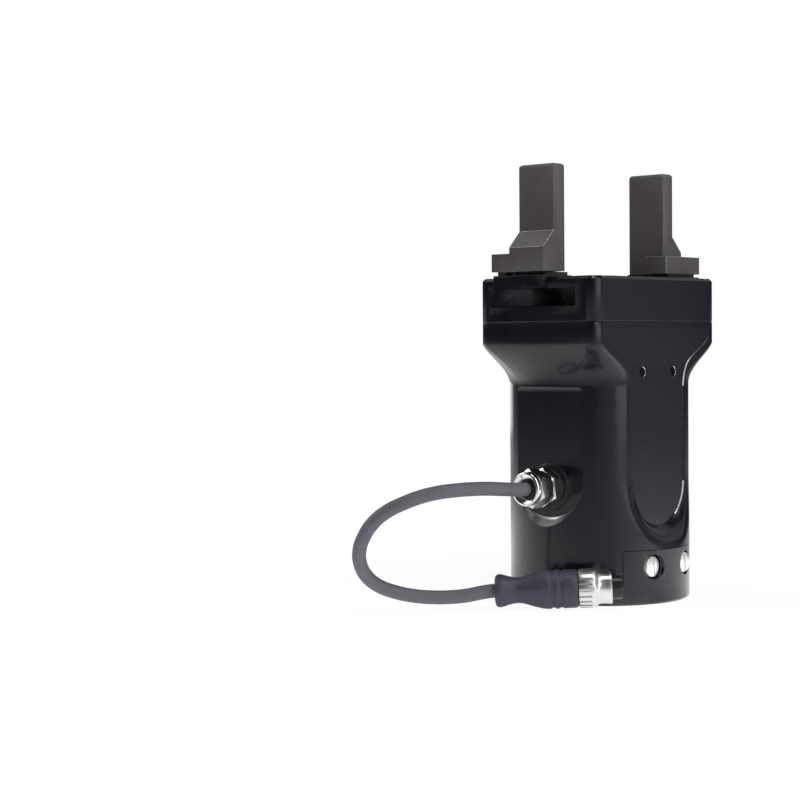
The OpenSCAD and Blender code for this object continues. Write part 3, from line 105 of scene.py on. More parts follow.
# Flat on the cable side
POCKET_X = 33.5
POCKET_R = 17.0
POCKET_FOOT_W = 3.0
POCKET_EDGE = 1.1
GLAND_Z = 47.5
GLAND_FLATS = 14.0

# Inverted T slot of the head
SLOT_FLOOR_Z = SPLIT_Z + 6.4
SLOT_LIP_Z = SLOT_FLOOR_Z + 7.3
SLOT_LOW_W = 46.0
SLOT_TOP_W = 41.4
SLOT_FAR_Y = 20.2
ROOF_L = 18.4
LANE_END_X = 0.6
CHANNEL_HALF_W = 5.7

# Slides and fingers, given for the left jaw
BAR_Z = 121.5
BAR_SHOULDER_Z = 128.2
BAR_TOP_Z = 132.8
BAR_END_X = HEAD_L / 2 + 2
BAR_L = 60.0
BAR_TOP_L = 43.0
BAR_EDGE_Y = SLOT_LOW_W / 2 - 0.3
BAR_FAR_Y = SLOT_FAR_Y - 0.3
BAR_TOP_EDGE_Y = SLOT_TOP_W / 2 - 0.3
JAW_REACH_Y = CHANNEL_HALF_W - 0.35
JAW_TOP_Z = TOP_Z + 0.9
JAW_L = 19.0
SEAT_H = 1.4
GRIP_X = 34.4
FINGER_Z = 135.4
FINGER_H = 43.4
FINGER_Y = 17.7 / 2
FINGER_T = 7.1
FINGER_OUTER_X = GRIP_X + 13.8
TIP_R = 1.3
SLOPE_LOW = 9.7
SLOPE_TOP = SLOPE_LOW + 6.7
FOOT_L = 25.0
FOOT_W = 9.3
FOOT_H = 7.3
SEAT_EDGE_Y = FINGER_Y + FOOT_W - 0.2
FINGER_SCREWS = [(-(GRIP_X - 5.9), FINGER_Y + FOOT_W / 2), (-(GRIP_X + 5.6), FINGER_Y + FOOT_W / 2)]

# Plug
GRIP_L = 33.3
PLUG_R = 7.8
RING_L = 13.2
RING_GRIPS = 20
INSERT_R = 4.7
INSERT_OUT = 3.8

# Route of the cable, in metres, from the gland to the plug
CABLE_ROUTE = [(x * MM, y * MM, z * MM) for x, y, z in (
    (-49, 0, 47.5), (-56, 0, 47.8), (-63.5, 0.4, 48.4), (-71, 1.4, 49), (-78, 3.4, 49.2),
    (-84.5, 6.4, 49), (-90.5, 10.2, 48.3), (-96, 14.6, 46.8), (-100.9, 19.5, 44.3),
    (-104.9, 24.8, 41), (-107.5, 29.7, 36.5), (-108.2, 33.9, 31.1), (-107.7, 37.1, 25.1),
    (-105.5, 38.7, 19.3), (-101.9, 38.5, 14.1), (-97.2, 36.3, 10.1), (-91.9, 32.3, 7.5),
    (-86.1, 27.5, 5.8), (-80.4, 22.4, 5.1), (-75.2, 17.4, 5.1), (-70.6, 12.8, 5.7),
    (-66.6, 9.1, 6.7), (-63.5, 6, 7.3), (-62.8, 5.1, 7.35))]
CABLE_D = 5.6
PLUG_START = (-62.8, 5.1, 7.35)
PLUG_HEADING = -52.9
PLUG_TILT = 2.0

# Places whose z axis is that of the plug or the gland, and the half turn from the left jaw to the right one
ON_PLUG = (Matrix.Translation(PLUG_START) @ Matrix.Rotation(radians(PLUG_HEADING), 4, "Z")
           @ Matrix.Rotation(radians(90 - PLUG_TILT), 4, "Y"))
ON_GLAND = Matrix.Translation((-POCKET_X, 0, GLAND_Z)) @ Matrix.Rotation(radians(-90), 4, "Y")
RIGHT_SIDE = Matrix.Rotation(pi, 4, "Z")


# ---------- camera ----------

def place_camera(place, yaw, pitch, roll, lens):
    """The eye looks along yaw and pitch, in degrees, and leans by roll."""
    y, p, r = radians(yaw), radians(pitch), radians(roll)
    ahead = Vector((cos(p) * cos(y), cos(p) * sin(y), sin(p)))
    level = ahead.cross(Vector((0, 0, 1))).normalized()
    upright = level.cross(ahead)
    right = level * cos(r) + upright * sin(r)
    up = upright * cos(r) - level * sin(r)
    data = bpy.data.cameras.new("studio_camera")
    data.lens = lens
    data.sensor_width = 36
    data.clip_end = 20
    camera = bpy.data.objects.new("studio_camera", data)
    turn = Matrix((right, up, -ahead)).transposed().to_4x4()
    camera.matrix_world = Matrix.Translation(place) @ turn
    bpy.context.scene.collection.objects.link(camera)
    bpy.context.scene.camera = camera


place_camera(place=(-0.64615, -0.48404, 0.10731), yaw=42.803, pitch=-1.7466, roll=-0.4554, lens=85.73)


# ---------- mesh tools ----------

def as_object(name, bm, place=None):
    """An object in metres from a bmesh in millimetres, put in place."""
    if place is not None:
        bm.transform(place)
    bm.transform(Matrix.Scale(MM, 4))
    bmesh.ops.recalc_face_normals(bm, faces=bm.faces)
    mesh = bpy.data.meshes.new(name)
    bm.to_mesh(mesh)
    bm.free()
    obj = bpy.data.objects.new(name, mesh)
    bpy.context.scene.collection.objects.link(obj)
    return obj


def lofted(rings, place=None, name="tool"):
    """A capped solid through rings of equally many points."""
    bm = bmesh.new()
    rows = [[bm.verts.new(p) for p in ring] for ring in rings]
    count = len(rows[0])
    for low, high in zip(rows, rows[1:]):
        for i in range(count):
            k = (i + 1) % count
            bm.faces.new((low[i], low[k], high[k], high[i]))
    bm.faces.new(rows[0][::-1])
    bm.faces.new(rows[-1])
    return as_object(name, bm, place)


def extruded(outline, low, high, place=None, name="tool"):
    return lofted([[(x, y, low) for x, y in outline], [(x, y, high) for x, y in outline]], place, name)


def turned(profile, place=None, name="tool", steps=72):
    """A closed outline of (radius, height) points turned about the z axis."""
    bm = bmesh.new()
    rows = []
    for r, z in profile:
        if r < 1e-6:
            rows.append([bm.verts.new((0, 0, z))])
        else:
            rows.append([bm.verts.new((r * cos(2 * pi * i / steps), r * sin(2 * pi * i / steps), z))
                         for i in range(steps)])
    for low, high in zip(rows, rows[1:] + rows[:1]):
        if len(low) == 1 and len(high) == 1:
            continue
        for i in range(steps):
            k = (i + 1) % steps
            if len(low) == 1:
                bm.faces.new((low[0], high[k], high[i]))
            elif len(high) == 1:
                bm.faces.new((low[i], low[k], high[0]))
            else:
                bm.faces.new((low[i], low[k], high[k], high[i]))
    return as_object(name, bm, place)


def block(low, high, place=None, name="tool"):
    (x0, y0, z0), (x1, y1, z1) = low, high
    return extruded([(x0, y0), (x1, y0), (x1, y1), (x0, y1)], z0, z1, place, name)


def hole(d, low, high, place=None, steps=40):
    """A round cutter from low to high on the z axis of its place."""
    return turned([(0, low), (d / 2, low), (d / 2, high), (0, high)], place, steps=steps)


def hexagon(flats, turn=0.0):
    r = flats / sqrt(3)
    return [(r * cos(radians(60 * i + turn)), r * sin(radians(60 * i + turn))) for i in range(6)]


def at(x, y, z):
    return Matrix.Translation((x, y, z))


def settle(obj):
    """The object's modifiers become its mesh."""
    bpy.context.view_layer.update()
    made = bpy.data.meshes.new_from_object(obj.evaluated_get(bpy.context.evaluated_depsgraph_get()))
    obj.modifiers.clear()
    old, obj.data = obj.data, made
    bpy.data.meshes.remove(old)


def combine(obj, tools, operation):
    for tool in tools:
        step = obj.modifiers.new("combine", "BOOLEAN")
        step.object = tool
        step.operation = operation
        step.solver = "MANIFOLD"
    settle(obj)
    for tool in tools:
        mesh = tool.data
        bpy.data.objects.remove(tool)
        bpy.data.meshes.remove(mesh)
    if not obj.data.polygons:
        raise RuntimeError("nothing left of " + obj.name)
    return obj


def cut(obj, *tools):
    return combine(obj, tools, "DIFFERENCE")


def join(obj, *tools):
    return combine(obj, tools, "UNION")


def shared(obj, *tools):
    return combine(obj, tools, "INTERSECT")


# Faces that turn less than this against each other count as one flat face
LEVEL_ANGLE = radians(0.4)


def flat_faces(obj, area, below=180.0):
    """Keeps faces over an area in square millimetres flat in their shading, at edges that turn less than below."""
    bm = bmesh.new()
    bm.from_mesh(obj.data)
    for face in bm.faces:
        if face.calc_area() > area * MM * MM:
            for edge in face.edges:
                if LEVEL_ANGLE < edge.calc_face_angle(0) < radians(below):
                    edge.smooth = False
    bm.to_mesh(obj.data)
    bm.free()
    return obj


def rounded_edges(obj, width, steps=3, angle=35.0):
    """Small round edges, with the flat faces kept flat in their shading."""
    obj.data.shade_smooth()
    flat_faces(obj, 12, below=angle)
    bevel = obj.modifiers.new("round_edges", "BEVEL")
    bevel.width = width * MM
    bevel.segments = steps
    bevel.limit_method = "ANGLE"
    bevel.angle_limit = radians(angle)
    bevel.harden_normals = True
    return obj


def paint_edge_highlight(obj, chosen, widest=0.3):
    """Gives the painted highlight finish, a light bare metal, to faces narrower than widest whose middle is chosen,
    so that they show as bright edge lines.
    """
    settle(obj)
    obj.data.materials.append(PAINTED_HIGHLIGHT_EDGE)
    corners = obj.data.vertices
    for face in obj.data.polygons:
        around = [corners[i].co for i in face.vertices]
        longest = max((a - b).length for a, b in zip(around, around[1:] + around[:1]))
        if face.area < longest * widest * MM and chosen(face.center / MM):
            face.material_index = 1
    return obj


def smooth(obj, angle=35.0):
    obj.data.shade_smooth()
    obj.data.set_sharp_from_angle(angle=radians(angle))
    return obj


REPLACED = set()


def dress(obj, name, body, finish):
    """Names a piece, gives it its finish and its body, and says that it stands for the CAD node of that name."""
    trim(obj, name, body, finish)
    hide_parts(name)
    REPLACED.add(name)
    return obj


def trim(obj, name, body, finish):
    """Names a small piece that no CAD node stands for, with its finish and its body."""
    obj.name = name + "_piece"
    obj.data.name = obj.name
    obj.data.materials.clear()
    obj.data.materials.append(finish)
    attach(obj, body)
    return obj


# ---------- shared surface effects ----------

def new_group(name, inputs, outputs):
    """A shader node group with float inputs and their usual values, and named outputs."""
    group = bpy.data.node_groups.new(name, "ShaderNodeTree")
    for title, value in inputs.items():
        socket = group.interface.new_socket(title, in_out="INPUT", socket_type="NodeSocketFloat")
        socket.default_value = value
    for title in outputs:
        group.interface.new_socket(title, in_out="OUTPUT", socket_type="NodeSocketFloat")
    return group, group.nodes.new("NodeGroupInput"), group.nodes.new("NodeGroupOutput")


def add(tree, kind, inputs=None, **settings):
    """A node with its settings, and inputs given as values or as sockets to link."""
    node = tree.nodes.new(kind)
    for key, value in settings.items():
        setattr(node, key, value)
    for key, value in (inputs or {}).items():
        if isinstance(value, bpy.types.NodeSocket):
            tree.links.new(value, node.inputs[key])
        else:
            node.inputs[key].default_value = value
    return node


def compute(tree, operation, a, b=0.0, clamp=False):
    return add(tree, "ShaderNodeMath", {0: a, 1: b}, operation=operation, use_clamp=clamp).outputs[0]


def remap(tree, value, low, high, to_low=0.0, to_high=1.0):
    node = add(tree, "ShaderNodeMapRange", {"Value": value, "From Min": low, "From Max": high,
                                            "To Min": to_low, "To Max": to_high})
    return node.outputs["Result"]


def object_point(tree):
    return add(tree, "ShaderNodeTexCoord").outputs["Object"]


def make_fine_grain():
    """Height of a blasted or moulded skin: small pits over a broader unevenness."""
    group, given, out = new_group("fine_grain", {"Scale": 2500.0, "Broad": 0.3}, ["Height"])
    point = object_point(group)
    small = add(group, "ShaderNodeTexNoise", {"Vector": point, "Scale": given.outputs["Scale"],
                                              "Detail": 3.0, "Roughness": 0.6})
    broad = add(group, "ShaderNodeTexNoise",
                {"Vector": point, "Scale": compute(group, "MULTIPLY", given.outputs["Scale"], 0.12), "Detail": 2.0})
    height = compute(group, "ADD", small.outputs["Fac"],
                     compute(group, "MULTIPLY", broad.outputs["Fac"], given.outputs["Broad"]))
    group.links.new(height, out.inputs["Height"])
    return group


def make_handling_marks():
    """Soft patches where hands and cloths have changed the sheen, 0 to 1."""
    group, given, out = new_group("handling_marks", {"Scale": 35.0}, ["Mask"])
    cloud = add(group, "ShaderNodeTexNoise", {"Vector": object_point(group), "Scale": given.outputs["Scale"],
                                              "Detail": 5.0, "Roughness": 0.62, "Distortion": 0.6})
    group.links.new(remap(group, cloud.outputs["Fac"], 0.32, 0.7), out.inputs["Mask"])
    return group


def make_edge_wear():
    """Where edges stand out they are rubbed, broken up by small noise."""
    group, given, out = new_group("edge_wear", {"Start": 0.53, "Breakup": 0.5}, ["Mask"])
    edge = add(group, "ShaderNodeNewGeometry").outputs["Pointiness"]
    noise = add(group, "ShaderNodeTexNoise", {"Vector": object_point(group), "Scale": 400.0, "Detail": 4.0})
    uneven = compute(group, "MULTIPLY", compute(group, "SUBTRACT", noise.outputs["Fac"], 0.5),
                     compute(group, "MULTIPLY", given.outputs["Breakup"], 0.1))
    lifted = compute(group, "ADD", edge, uneven)
    ramp = compute(group, "DIVIDE", compute(group, "SUBTRACT", lifted, given.outputs["Start"]), 0.06, True)
    group.links.new(ramp, out.inputs["Mask"])
    return group


def make_settled_dust():
    """A thin film that gathers on faces that look up."""
    group, given, out = new_group("settled_dust", {"Amount": 0.2}, ["Mask"])
    facing = add(group, "ShaderNodeSeparateXYZ", {0: add(group, "ShaderNodeNewGeometry").outputs["Normal"]})
    noise = add(group, "ShaderNodeTexNoise", {"Vector": object_point(group), "Scale": 900.0, "Detail": 6.0})
    lying = remap(group, facing.outputs["Z"], 0.35, 1.0)
    specks = remap(group, noise.outputs["Fac"], 0.45, 0.75, 0.25, 1.0)
    group.links.new(compute(group, "MULTIPLY", compute(group, "MULTIPLY", lying, specks), given.outputs["Amount"]),
                    out.inputs["Mask"])
    return group


def make_tool_marks():
    """Height of fine parallel marks, drawn out along x, y or z by small scales."""
    group, given, out = new_group("tool_marks", {"X": 60.0, "Y": 60.0, "Z": 6000.0}, ["Height"])
    stretch = add(group, "ShaderNodeCombineXYZ", {"X": given.outputs["X"], "Y": given.outputs["Y"],
                                                  "Z": given.outputs["Z"]})
    point = add(group, "ShaderNodeVectorMath", {0: object_point(group), 1: stretch.outputs[0]},
                operation="MULTIPLY")
    noise = add(group, "ShaderNodeTexNoise", {"Vector": point.outputs[0], "Scale": 1.0, "Detail": 3.0})
    group.links.new(noise.outputs["Fac"], out.inputs["Height"])
    return group


FINE_GRAIN = make_fine_grain()
HANDLING_MARKS = make_handling_marks()
EDGE_WEAR = make_edge_wear()
SETTLED_DUST = make_settled_dust()
TOOL_MARKS = make_tool_marks()


def use(tree, group, **values):
    node = add(tree, "ShaderNodeGroup", node_tree=group)
    for key, value in values.items():
        node.inputs[key].default_value = value
    return node.outputs[0]


def blended(tree, mask, a, b):
    node = add(tree, "ShaderNodeMix", {"Factor": mask}, data_type="RGBA")
    for socket, value in ((node.inputs[6], a), (node.inputs[7], b)):
        if isinstance(value, bpy.types.NodeSocket):
            tree.links.new(value, socket)
        else:
            socket.default_value = (*value, 1)
    return node.outputs[2]


COAT_ROUGHNESS = 0.13
DUST_TONE = (0.42, 0.41, 0.4)


def finish(name, tone, tone_b, rough, rough_b, metal=0.0, grain=2500.0, depth=0.05, worn=None, dust=0.0,
           marks=35.0, lines=None, specular=0.5, coat=0.0):
    """A finish whose tone and roughness drift with handling, with grain or tool marks as relief.

    worn is the tone of rubbed edges, dust the film on faces that look up, lines the scales of tool marks.
    """
    material = bpy.data.materials.new(name)
    material.use_nodes = True
    tree = material.node_tree
    shader = tree.nodes["Principled BSDF"]
    shader.inputs["Metallic"].default_value = metal
    shader.inputs["Specular IOR Level"].default_value = specular
    if coat:
        shader.inputs["Coat Weight"].default_value = coat
        shader.inputs["Coat Roughness"].default_value = COAT_ROUGHNESS
    patches = use(tree, HANDLING_MARKS, Scale=marks)
    color = blended(tree, patches, tone, tone_b)
    roughness = remap(tree, patches, 0.0, 1.0, rough, rough_b)
    if worn:
        edges = use(tree, EDGE_WEAR, Start=0.56, Breakup=0.6)
        color = blended(tree, edges, color, worn)
    if dust:
        film = use(tree, SETTLED_DUST, Amount=dust)
        color = blended(tree, film, color, DUST_TONE)
        roughness = compute(tree, "ADD", roughness, compute(tree, "MULTIPLY", film, 0.4), True)
    height = use(tree, FINE_GRAIN, Scale=grain, Broad=0.35)
    if lines:
        strokes = use(tree, TOOL_MARKS, X=lines[0], Y=lines[1], Z=lines[2])
        height = compute(tree, "ADD", compute(tree, "MULTIPLY", height, 0.3), strokes)
    bump = add(tree, "ShaderNodeBump", {"Height": height, "Strength": 1.0, "Distance": depth * MM})
    for value, title in ((color, "Base Color"), (roughness, "Roughness"), (bump.outputs[0], "Normal")):
        tree.links.new(value, shader.inputs[title])
    return material


BODY_BLACK = finish("body_black", (0.0044, 0.0050, 0.0105), (0.0056, 0.0063, 0.0125), 0.23, 0.29,
                    grain=3600.0, depth=0.0025, worn=(0.03, 0.03, 0.033), dust=0.004, specular=0.26, coat=0.4)
FINGER_GREY = finish("finger_grey", (0.087, 0.073, 0.085), (0.097, 0.083, 0.095), 0.36, 0.45,
                     grain=3600.0, depth=0.006, worn=(0.12, 0.115, 0.12), dust=0.01, specular=0.35, coat=0.6)
# Painted highlight: a light bare metal finish for narrow edge strips, so that they show as bright lines
PAINTED_HIGHLIGHT_EDGE = finish("painted_highlight_edge", (0.6, 0.6, 0.62), (0.52, 0.52, 0.54), 0.22, 0.3, metal=0.4, grain=3000.0, depth=0.003)
# Painted reflection: a bright machined metal finish for the pocket foot, standing in for the bright reflection on it
FOOT_HIGHLIGHT_FACE = finish("foot_highlight_face", (0.36, 0.36, 0.37), (0.3, 0.3, 0.31), 0.32, 0.42, metal=1.0, grain=2600.0,
                       depth=0.004)
BRIGHT_ZINC = finish("bright_zinc", (0.93, 0.93, 0.94), (0.86, 0.86, 0.87), 0.18, 0.28, metal=0.5, grain=1500.0,
                     depth=0.002)
NICKEL = finish("nickel", (0.84, 0.84, 0.84), (0.78, 0.78, 0.79), 0.13, 0.2, metal=1.0, grain=1500.0,
                depth=0.002, lines=(40.0, 40.0, 3000.0))
SATIN_NICKEL = finish("satin_nickel", (0.80, 0.80, 0.80), (0.74, 0.74, 0.75), 0.27, 0.34, metal=1.0,
                      grain=1500.0, depth=0.003, lines=(60.0, 60.0, 2600.0))
CABLE_JACKET = finish("cable_jacket", (0.132, 0.124, 0.148), (0.155, 0.146, 0.172), 0.5, 0.62, grain=2200.0,
                      depth=0.05, marks=60.0, dust=0.05)
PLUG_JACKET = finish("plug_jacket", (0.044, 0.044, 0.064), (0.053, 0.053, 0.077), 0.42, 0.52, grain=1800.0,
                     depth=0.05, marks=60.0)
PLUG_INSERT = finish("plug_insert_plastic", (0.007, 0.007, 0.0075), (0.010, 0.010, 0.0105), 0.25, 0.32,
                     grain=2200.0, depth=0.02)
SEAL_RUBBER = finish("seal_rubber", (0.016, 0.016, 0.017), (0.024, 0.024, 0.025), 0.55, 0.7, grain=1500.0,
                     depth=0.05)
SCREW_BLACK = finish("screw_black", (0.02, 0.02, 0.021), (0.032, 0.031, 0.031), 0.3, 0.42, metal=0.6,
                     grain=2600.0, depth=0.01, worn=(0.12, 0.12, 0.12))
PLAIN_STEEL = finish("plain_steel", (0.48, 0.48, 0.49), (0.4, 0.4, 0.41), 0.28, 0.4, metal=1.0, grain=2400.0,
                     depth=0.006, lines=(2500.0, 60.0, 60.0))
GEARHEAD_METAL = finish("gearhead_metal", (0.4, 0.4, 0.42), (0.34, 0.34, 0.36), 0.3, 0.45, metal=1.0,
                        grain=1800.0, depth=0.01, lines=(60.0, 60.0, 2500.0))
BRONZE = finish("bronze", (0.42, 0.27, 0.11), (0.34, 0.21, 0.08), 0.3, 0.42, metal=1.0, grain=1800.0, depth=0.01)
COPPER = finish("copper", (0.6, 0.24, 0.11), (0.5, 0.18, 0.08), 0.25, 0.4, metal=1.0, grain=900.0, depth=0.05,
                lines=(3000.0, 3000.0, 80.0))
MOTOR_BLACK = finish("motor_black", (0.02, 0.02, 0.021), (0.028, 0.028, 0.03), 0.4, 0.5, grain=1500.0,
                     depth=0.02, worn=(0.15, 0.15, 0.15))
CIRCUIT_BOARD = finish("circuit_board", (0.012, 0.09, 0.035), (0.016, 0.12, 0.05), 0.3, 0.45, grain=900.0,
                       depth=0.02)

SLOT_FINISHES = {
    "body_black": BODY_BLACK, "finger_grey": FINGER_GREY, "nickel": NICKEL, "cable_jacket": CABLE_JACKET,
    "plug_jacket": PLUG_JACKET, "plug_insert_plastic": PLUG_INSERT, "seal_rubber": SEAL_RUBBER,
    "screw_black": SCREW_BLACK, "plain_steel": PLAIN_STEEL, "gearhead_metal": GEARHEAD_METAL,
    "bronze": BRONZE, "copper": COPPER, "motor_black": MOTOR_BLACK, "circuit_board": CIRCUIT_BOARD}


# ---------- housing ----------

def polar(r, angle):
    """A point of the plan, from a radius and an angle in degrees."""
    return Vector((r * cos(radians(angle)), r * sin(radians(angle))))


def spread(count, start, end):
    """Even steps from start, without the end itself."""
    return [start + (end - start) * i / count for i in range(count)]


def soft_min(a, b, k):
    """The smaller of two lengths, with the change from one to the other eased over k."""
    h = max(k - abs(a - b), 0)
    return min(a, b) - h * h / (4 * k)


def foot_ramp(x, z):
    """How far the arched foot of a side flat slopes out."""
    if z >= ARCH_Z:
        return 0
    reach = hypot(x, ARCH_Z - z)
    return max(0, reach - FLAT_HALF_W) * (BARREL_R - FLAT_Y) / FOOT_RUN * (ARCH_Z - z) / reach


def barrel_point(angle, z, inset):
    """A point of the round barrel at a height, pared by the two side flats."""
    p = polar(BARREL_R - inset, angle)
    edge = FLAT_EDGE + FOOT_EDGE * min(1, max(0, (ARCH_Z - z) / FOOT_EDGE_RUN))
    depth = soft_min(abs(p.y), FLAT_Y - inset + foot_ramp(p.x, z), edge)
    return Vector((p.x, p.y if abs(p.y) < 1 else depth * (1 if p.y > 0 else -1)))


def head_outline(inset, steps):
    """The head's rounded rectangle, starting with the long side at -y."""
    points = []
    r = CORNER_R - inset
    depths = (HEAD_W / 2 - inset, HEAD_L / 2 - inset)
    for q in range(4):
        facing = 90 * q - 90
        depth, straight = depths[q % 2], depths[(q + 1) % 2] - r
        points += [polar(depth, facing) + polar(s, facing + 90) for s in spread(steps[q % 2], -straight, straight)]
        points += [polar(depth - r, facing) + polar(straight, facing + 90) + polar(r, a)
                   for a in spread(steps[2], facing, facing + 90)]
    return points


def barrel_directions(steps):
    """The angles of the barrel's points, one for each point of the head's outline."""
    half = (degrees(asin(FLAT_HALF_W / BARREL_R)), degrees(asin(sqrt(1 - (POCKET_X / BARREL_R) ** 2))))
    angles = []
    for q in range(4):
        facing = 90 * q - 90
        own, following = half[q % 2], half[(q + 1) % 2]
        angles += spread(steps[q % 2], facing - own, facing + own)
        angles += spread(steps[2], facing + own, facing + 90 - following)
    return angles


def make_housing():
    steps = (56, 44, 34)
    directions = barrel_directions(steps)

    def ring(z, inset=0.0):
        t = min(1, max(0, (z - FLARE_Z) / (HEAD_Z - FLARE_Z)))
        share = (1 - (1 - t) ** 1.5) ** 2.3  # slow out of the barrel, rounded into the head
        head = head_outline(inset, steps)
        points = [barrel_point(a, z, inset) * (1 - share) + h * share for a, h in zip(directions, head)]
        return [(p.x, p.y, z) for p in points]

    rings = [ring(FLANGE_H, SEAM), ring(FLANGE_H + 0.6 * SEAM, 0.25 * SEAM), ring(FLANGE_H + 1.4 * SEAM)]
    rings += [ring(z) for z in (14, 20)]
    rings += [ring(z) for z in spread(44, 24.5, ARCH_Z)]
    rings += [ring(z) for z in spread(8, ARCH_Z, FLARE_Z)]
    rings += [ring(z) for z in spread(44, FLARE_Z, HEAD_Z)]
    rings += [ring(z) for z in (HEAD_Z, 110)]
    rings += [ring(SPLIT_Z - 1.4 * SEAM), ring(SPLIT_Z - 0.6 * SEAM, 0.25 * SEAM), ring(SPLIT_Z, SEAM)]
    housing = lofted(rings, name="housing")

    inner = hole(2 * (BARREL_R - WALL), FLANGE_H - 1, BOTTOM_TOP_Z, steps=120)

    def cavity(r, low, high):
        walls = block((WALL - POCKET_X, WALL - FLAT_Y, low), (BARREL_R, FLAT_Y - WALL, high))
        return shared(hole(2 * r, low, high, steps=120), walls)

    join(inner, cavity(LEDGE_R, BOTTOM_TOP_Z - 1, LEDGE_TOP_Z + 1),
         cavity(BARREL_R - WALL, LEDGE_TOP_Z, PLATE_Z + 1), head_room(PLATE_Z, TOP_Z))
    side_holes = side_hole_places()
    cut(inner, *[hole(9, WALL - 1, 6, place) for place in side_holes])
    cut(housing, inner)
    cut(housing, side_panel(Matrix.Identity(4)), side_panel(RIGHT_SIDE))
    tapped = [(0, -1), (TAP_R + 0.9, -1), (TAP_R + 0.5, 0), (TAP_R, 0.5)]
    tapped += [(TAP_R + 0.22 * (i % 2), 0.5 + TAP_PITCH / 2 * i) for i in range(1, 12)] + [(0, TAP_DEPTH)]
    cut(housing, cable_pocket(),
        tab_sector(BARREL_R + 2, BARREL_R - TAB_T - 2, TAB_ANGLE + 1, FLANGE_H - 1, TAB_TOP_Z + 0.25),
        hole(12.1, -1, WALL + 1, at(-POCKET_X, 0, GLAND_Z) @ Matrix.Rotation(radians(90), 4, "Y")),
        *[turned(tapped, place, steps=40) for place in side_holes])
    dress(flat_faces(smooth(housing, 28), 60), "housing", "base", BODY_BLACK)
    housing.data.materials.append(PAINTED_HIGHLIGHT_EDGE)
    housing.data.materials.append(FOOT_HIGHLIGHT_FACE)
    # Painted highlight: the panel's walls get a light bare finish, so that they show as bright lines
    for face in housing.data.polygons:
        if on_highlighted_panel_edge(face.center / MM, face.normal):
            face.material_index = 1
        # Painted reflection: the pocket's sloping foot gets the bright machined finish
        elif on_pocket_foot(face.center / MM, face.normal):
            face.material_index = 2


def on_highlighted_panel_edge(middle, normal):
    """The panel's walls that face its middle, where they get the painted highlight finish."""
    x, y, z = middle
    sunk = FLAT_Y - abs(y)
    below = max(0, ARCH_Z - z)
    inward = -x * normal.x + below * normal.z > 0.1 * hypot(x, below)
    # rubbed marks the walls that get the painted highlight finish
    rubbed = HIGHLIGHT_FLARE[0] < z < HIGHLIGHT_FLARE[1] or (0 < below < FLAT_HALF_W and abs(x) > HIGHLIGHT_ARCH_X)
    return 0.01 < sunk < PANEL_SINK - 0.01 and inward and rubbed


def on_pocket_foot(middle, normal):
    """The sloping foot of the flat on the cable side, between the flat itself and the barrel."""
    x, y, z = middle
    beside = x < -POCKET_X - 0.05 and abs(y) < POCKET_R and hypot(x, y) < BARREL_R - 0.02
    return beside and 30 < z < GLAND_Z and normal.z > 0.15 and normal.x > -0.99


def head_room(low, high):
    """The hollow of the head, less the four corner posts for the screws."""
    room = extruded(rounded_outline(CAVITY_L, CAVITY_W, CORNER_R - WALL), low, high)
    x, y = CAVITY_L / 2, CAVITY_W / 2
    posts = [block((x - POST_L, y - POST_W, low - 1), (x + 1, y + 1, high + 1), Matrix.Diagonal((sx, sy, 1, 1)))
             for sx in (-1, 1) for sy in (-1, 1)]
    return cut(room, *posts)


def side_panel(turn):
    """The cutter for the shallow panel sunk into a side flat: an arch below that widens with the flare."""
    def ring(angle):
        lean = radians(angle)
        half = FLAT_HALF_W - PANEL_INSET + PANEL_SINK * sin(lean)
        arch = [(half * cos(radians(a)), ARCH_Z + half * sin(radians(a))) for a in range(-175, 0, 5)]
        right = bent([(half + out, z) for out, z in PANEL_FLARE])
        y = -FLAT_Y + PANEL_SINK * cos(lean) - 0.01 * sin(lean)
        return [(x, y, z) for x, z in arch + right + [(-x, z) for x, z in reversed(right)]]

    rings = [ring(a) for a in (0, 22, 45, 68, 90)]
    panel = lofted(rings + [[(x, y - 2, z) for x, y, z in rings[-1]]])
    low, high = PANEL_FADE
    clear = 0.3
    end = high + clear * (high - low) / PANEL_SINK
    fade = [(-FLAT_Y + PANEL_SINK, low), (-FLAT_Y - clear, end), (5 - FLAT_Y, end), (5 - FLAT_Y, low)]
    cut(panel, lofted([[(x, y, z) for y, z in fade] for x in (-60, 60)]))
    panel.data.transform(turn)
    return panel


def rounded_outline(length, width, r, steps=8):
    """A rectangle of the plan with rounded corners."""
    points = []
    for sx, sy, start in ((1, -1, -90), (1, 1, 0), (-1, 1, 90), (-1, -1, 180)):
        for i in range(steps + 1):
            p = polar(r, start + 90 * i / steps)
            points.append((sx * (length / 2 - r) + p.x, sy * (width / 2 - r) + p.y))
    return points


def cable_pocket():
    """The cutter for the flat on the cable side: its foot slopes out and runs into the straight sides."""
    depth = BARREL_R - POCKET_X

    def ring(out, shrink):
        fall = POCKET_R - POCKET_FOOT_W + POCKET_FOOT_W * out / depth - shrink
        points = []
        for i in range(73):
            angle = radians(-180 + 180 * i / 72)
            points.append((-POCKET_X - out, POCKET_R * cos(angle), ARCH_Z + fall * sin(angle)))
        top = FLARE_Z - 2 * shrink
        return points + [(-POCKET_X - out, POCKET_R, top), (-POCKET_X - out, -POCKET_R, top)]

    rings = []
    for i in range(7):
        turn = radians(15 * i)
        rings.append(ring(POCKET_EDGE * (1 - cos(turn)), POCKET_EDGE * (1 - sin(turn))))
    rings.append(ring(depth + 1, 0))
    return lofted(rings)


def tab_sector(outer_r, inner_r, angle, low, high):
    """A piece of a ring about -y, on the same facets as the flange."""
    ring = turned([(inner_r, low), (outer_r, low), (outer_r, high), (inner_r, high)], steps=180)
    wedge = [(0, 0)] + [tuple(polar(2 * outer_r, a)) for a in (-90 - angle / 2, -90, -90 + angle / 2)]
    return shared(ring, extruded(wedge, low - 1, high + 1))


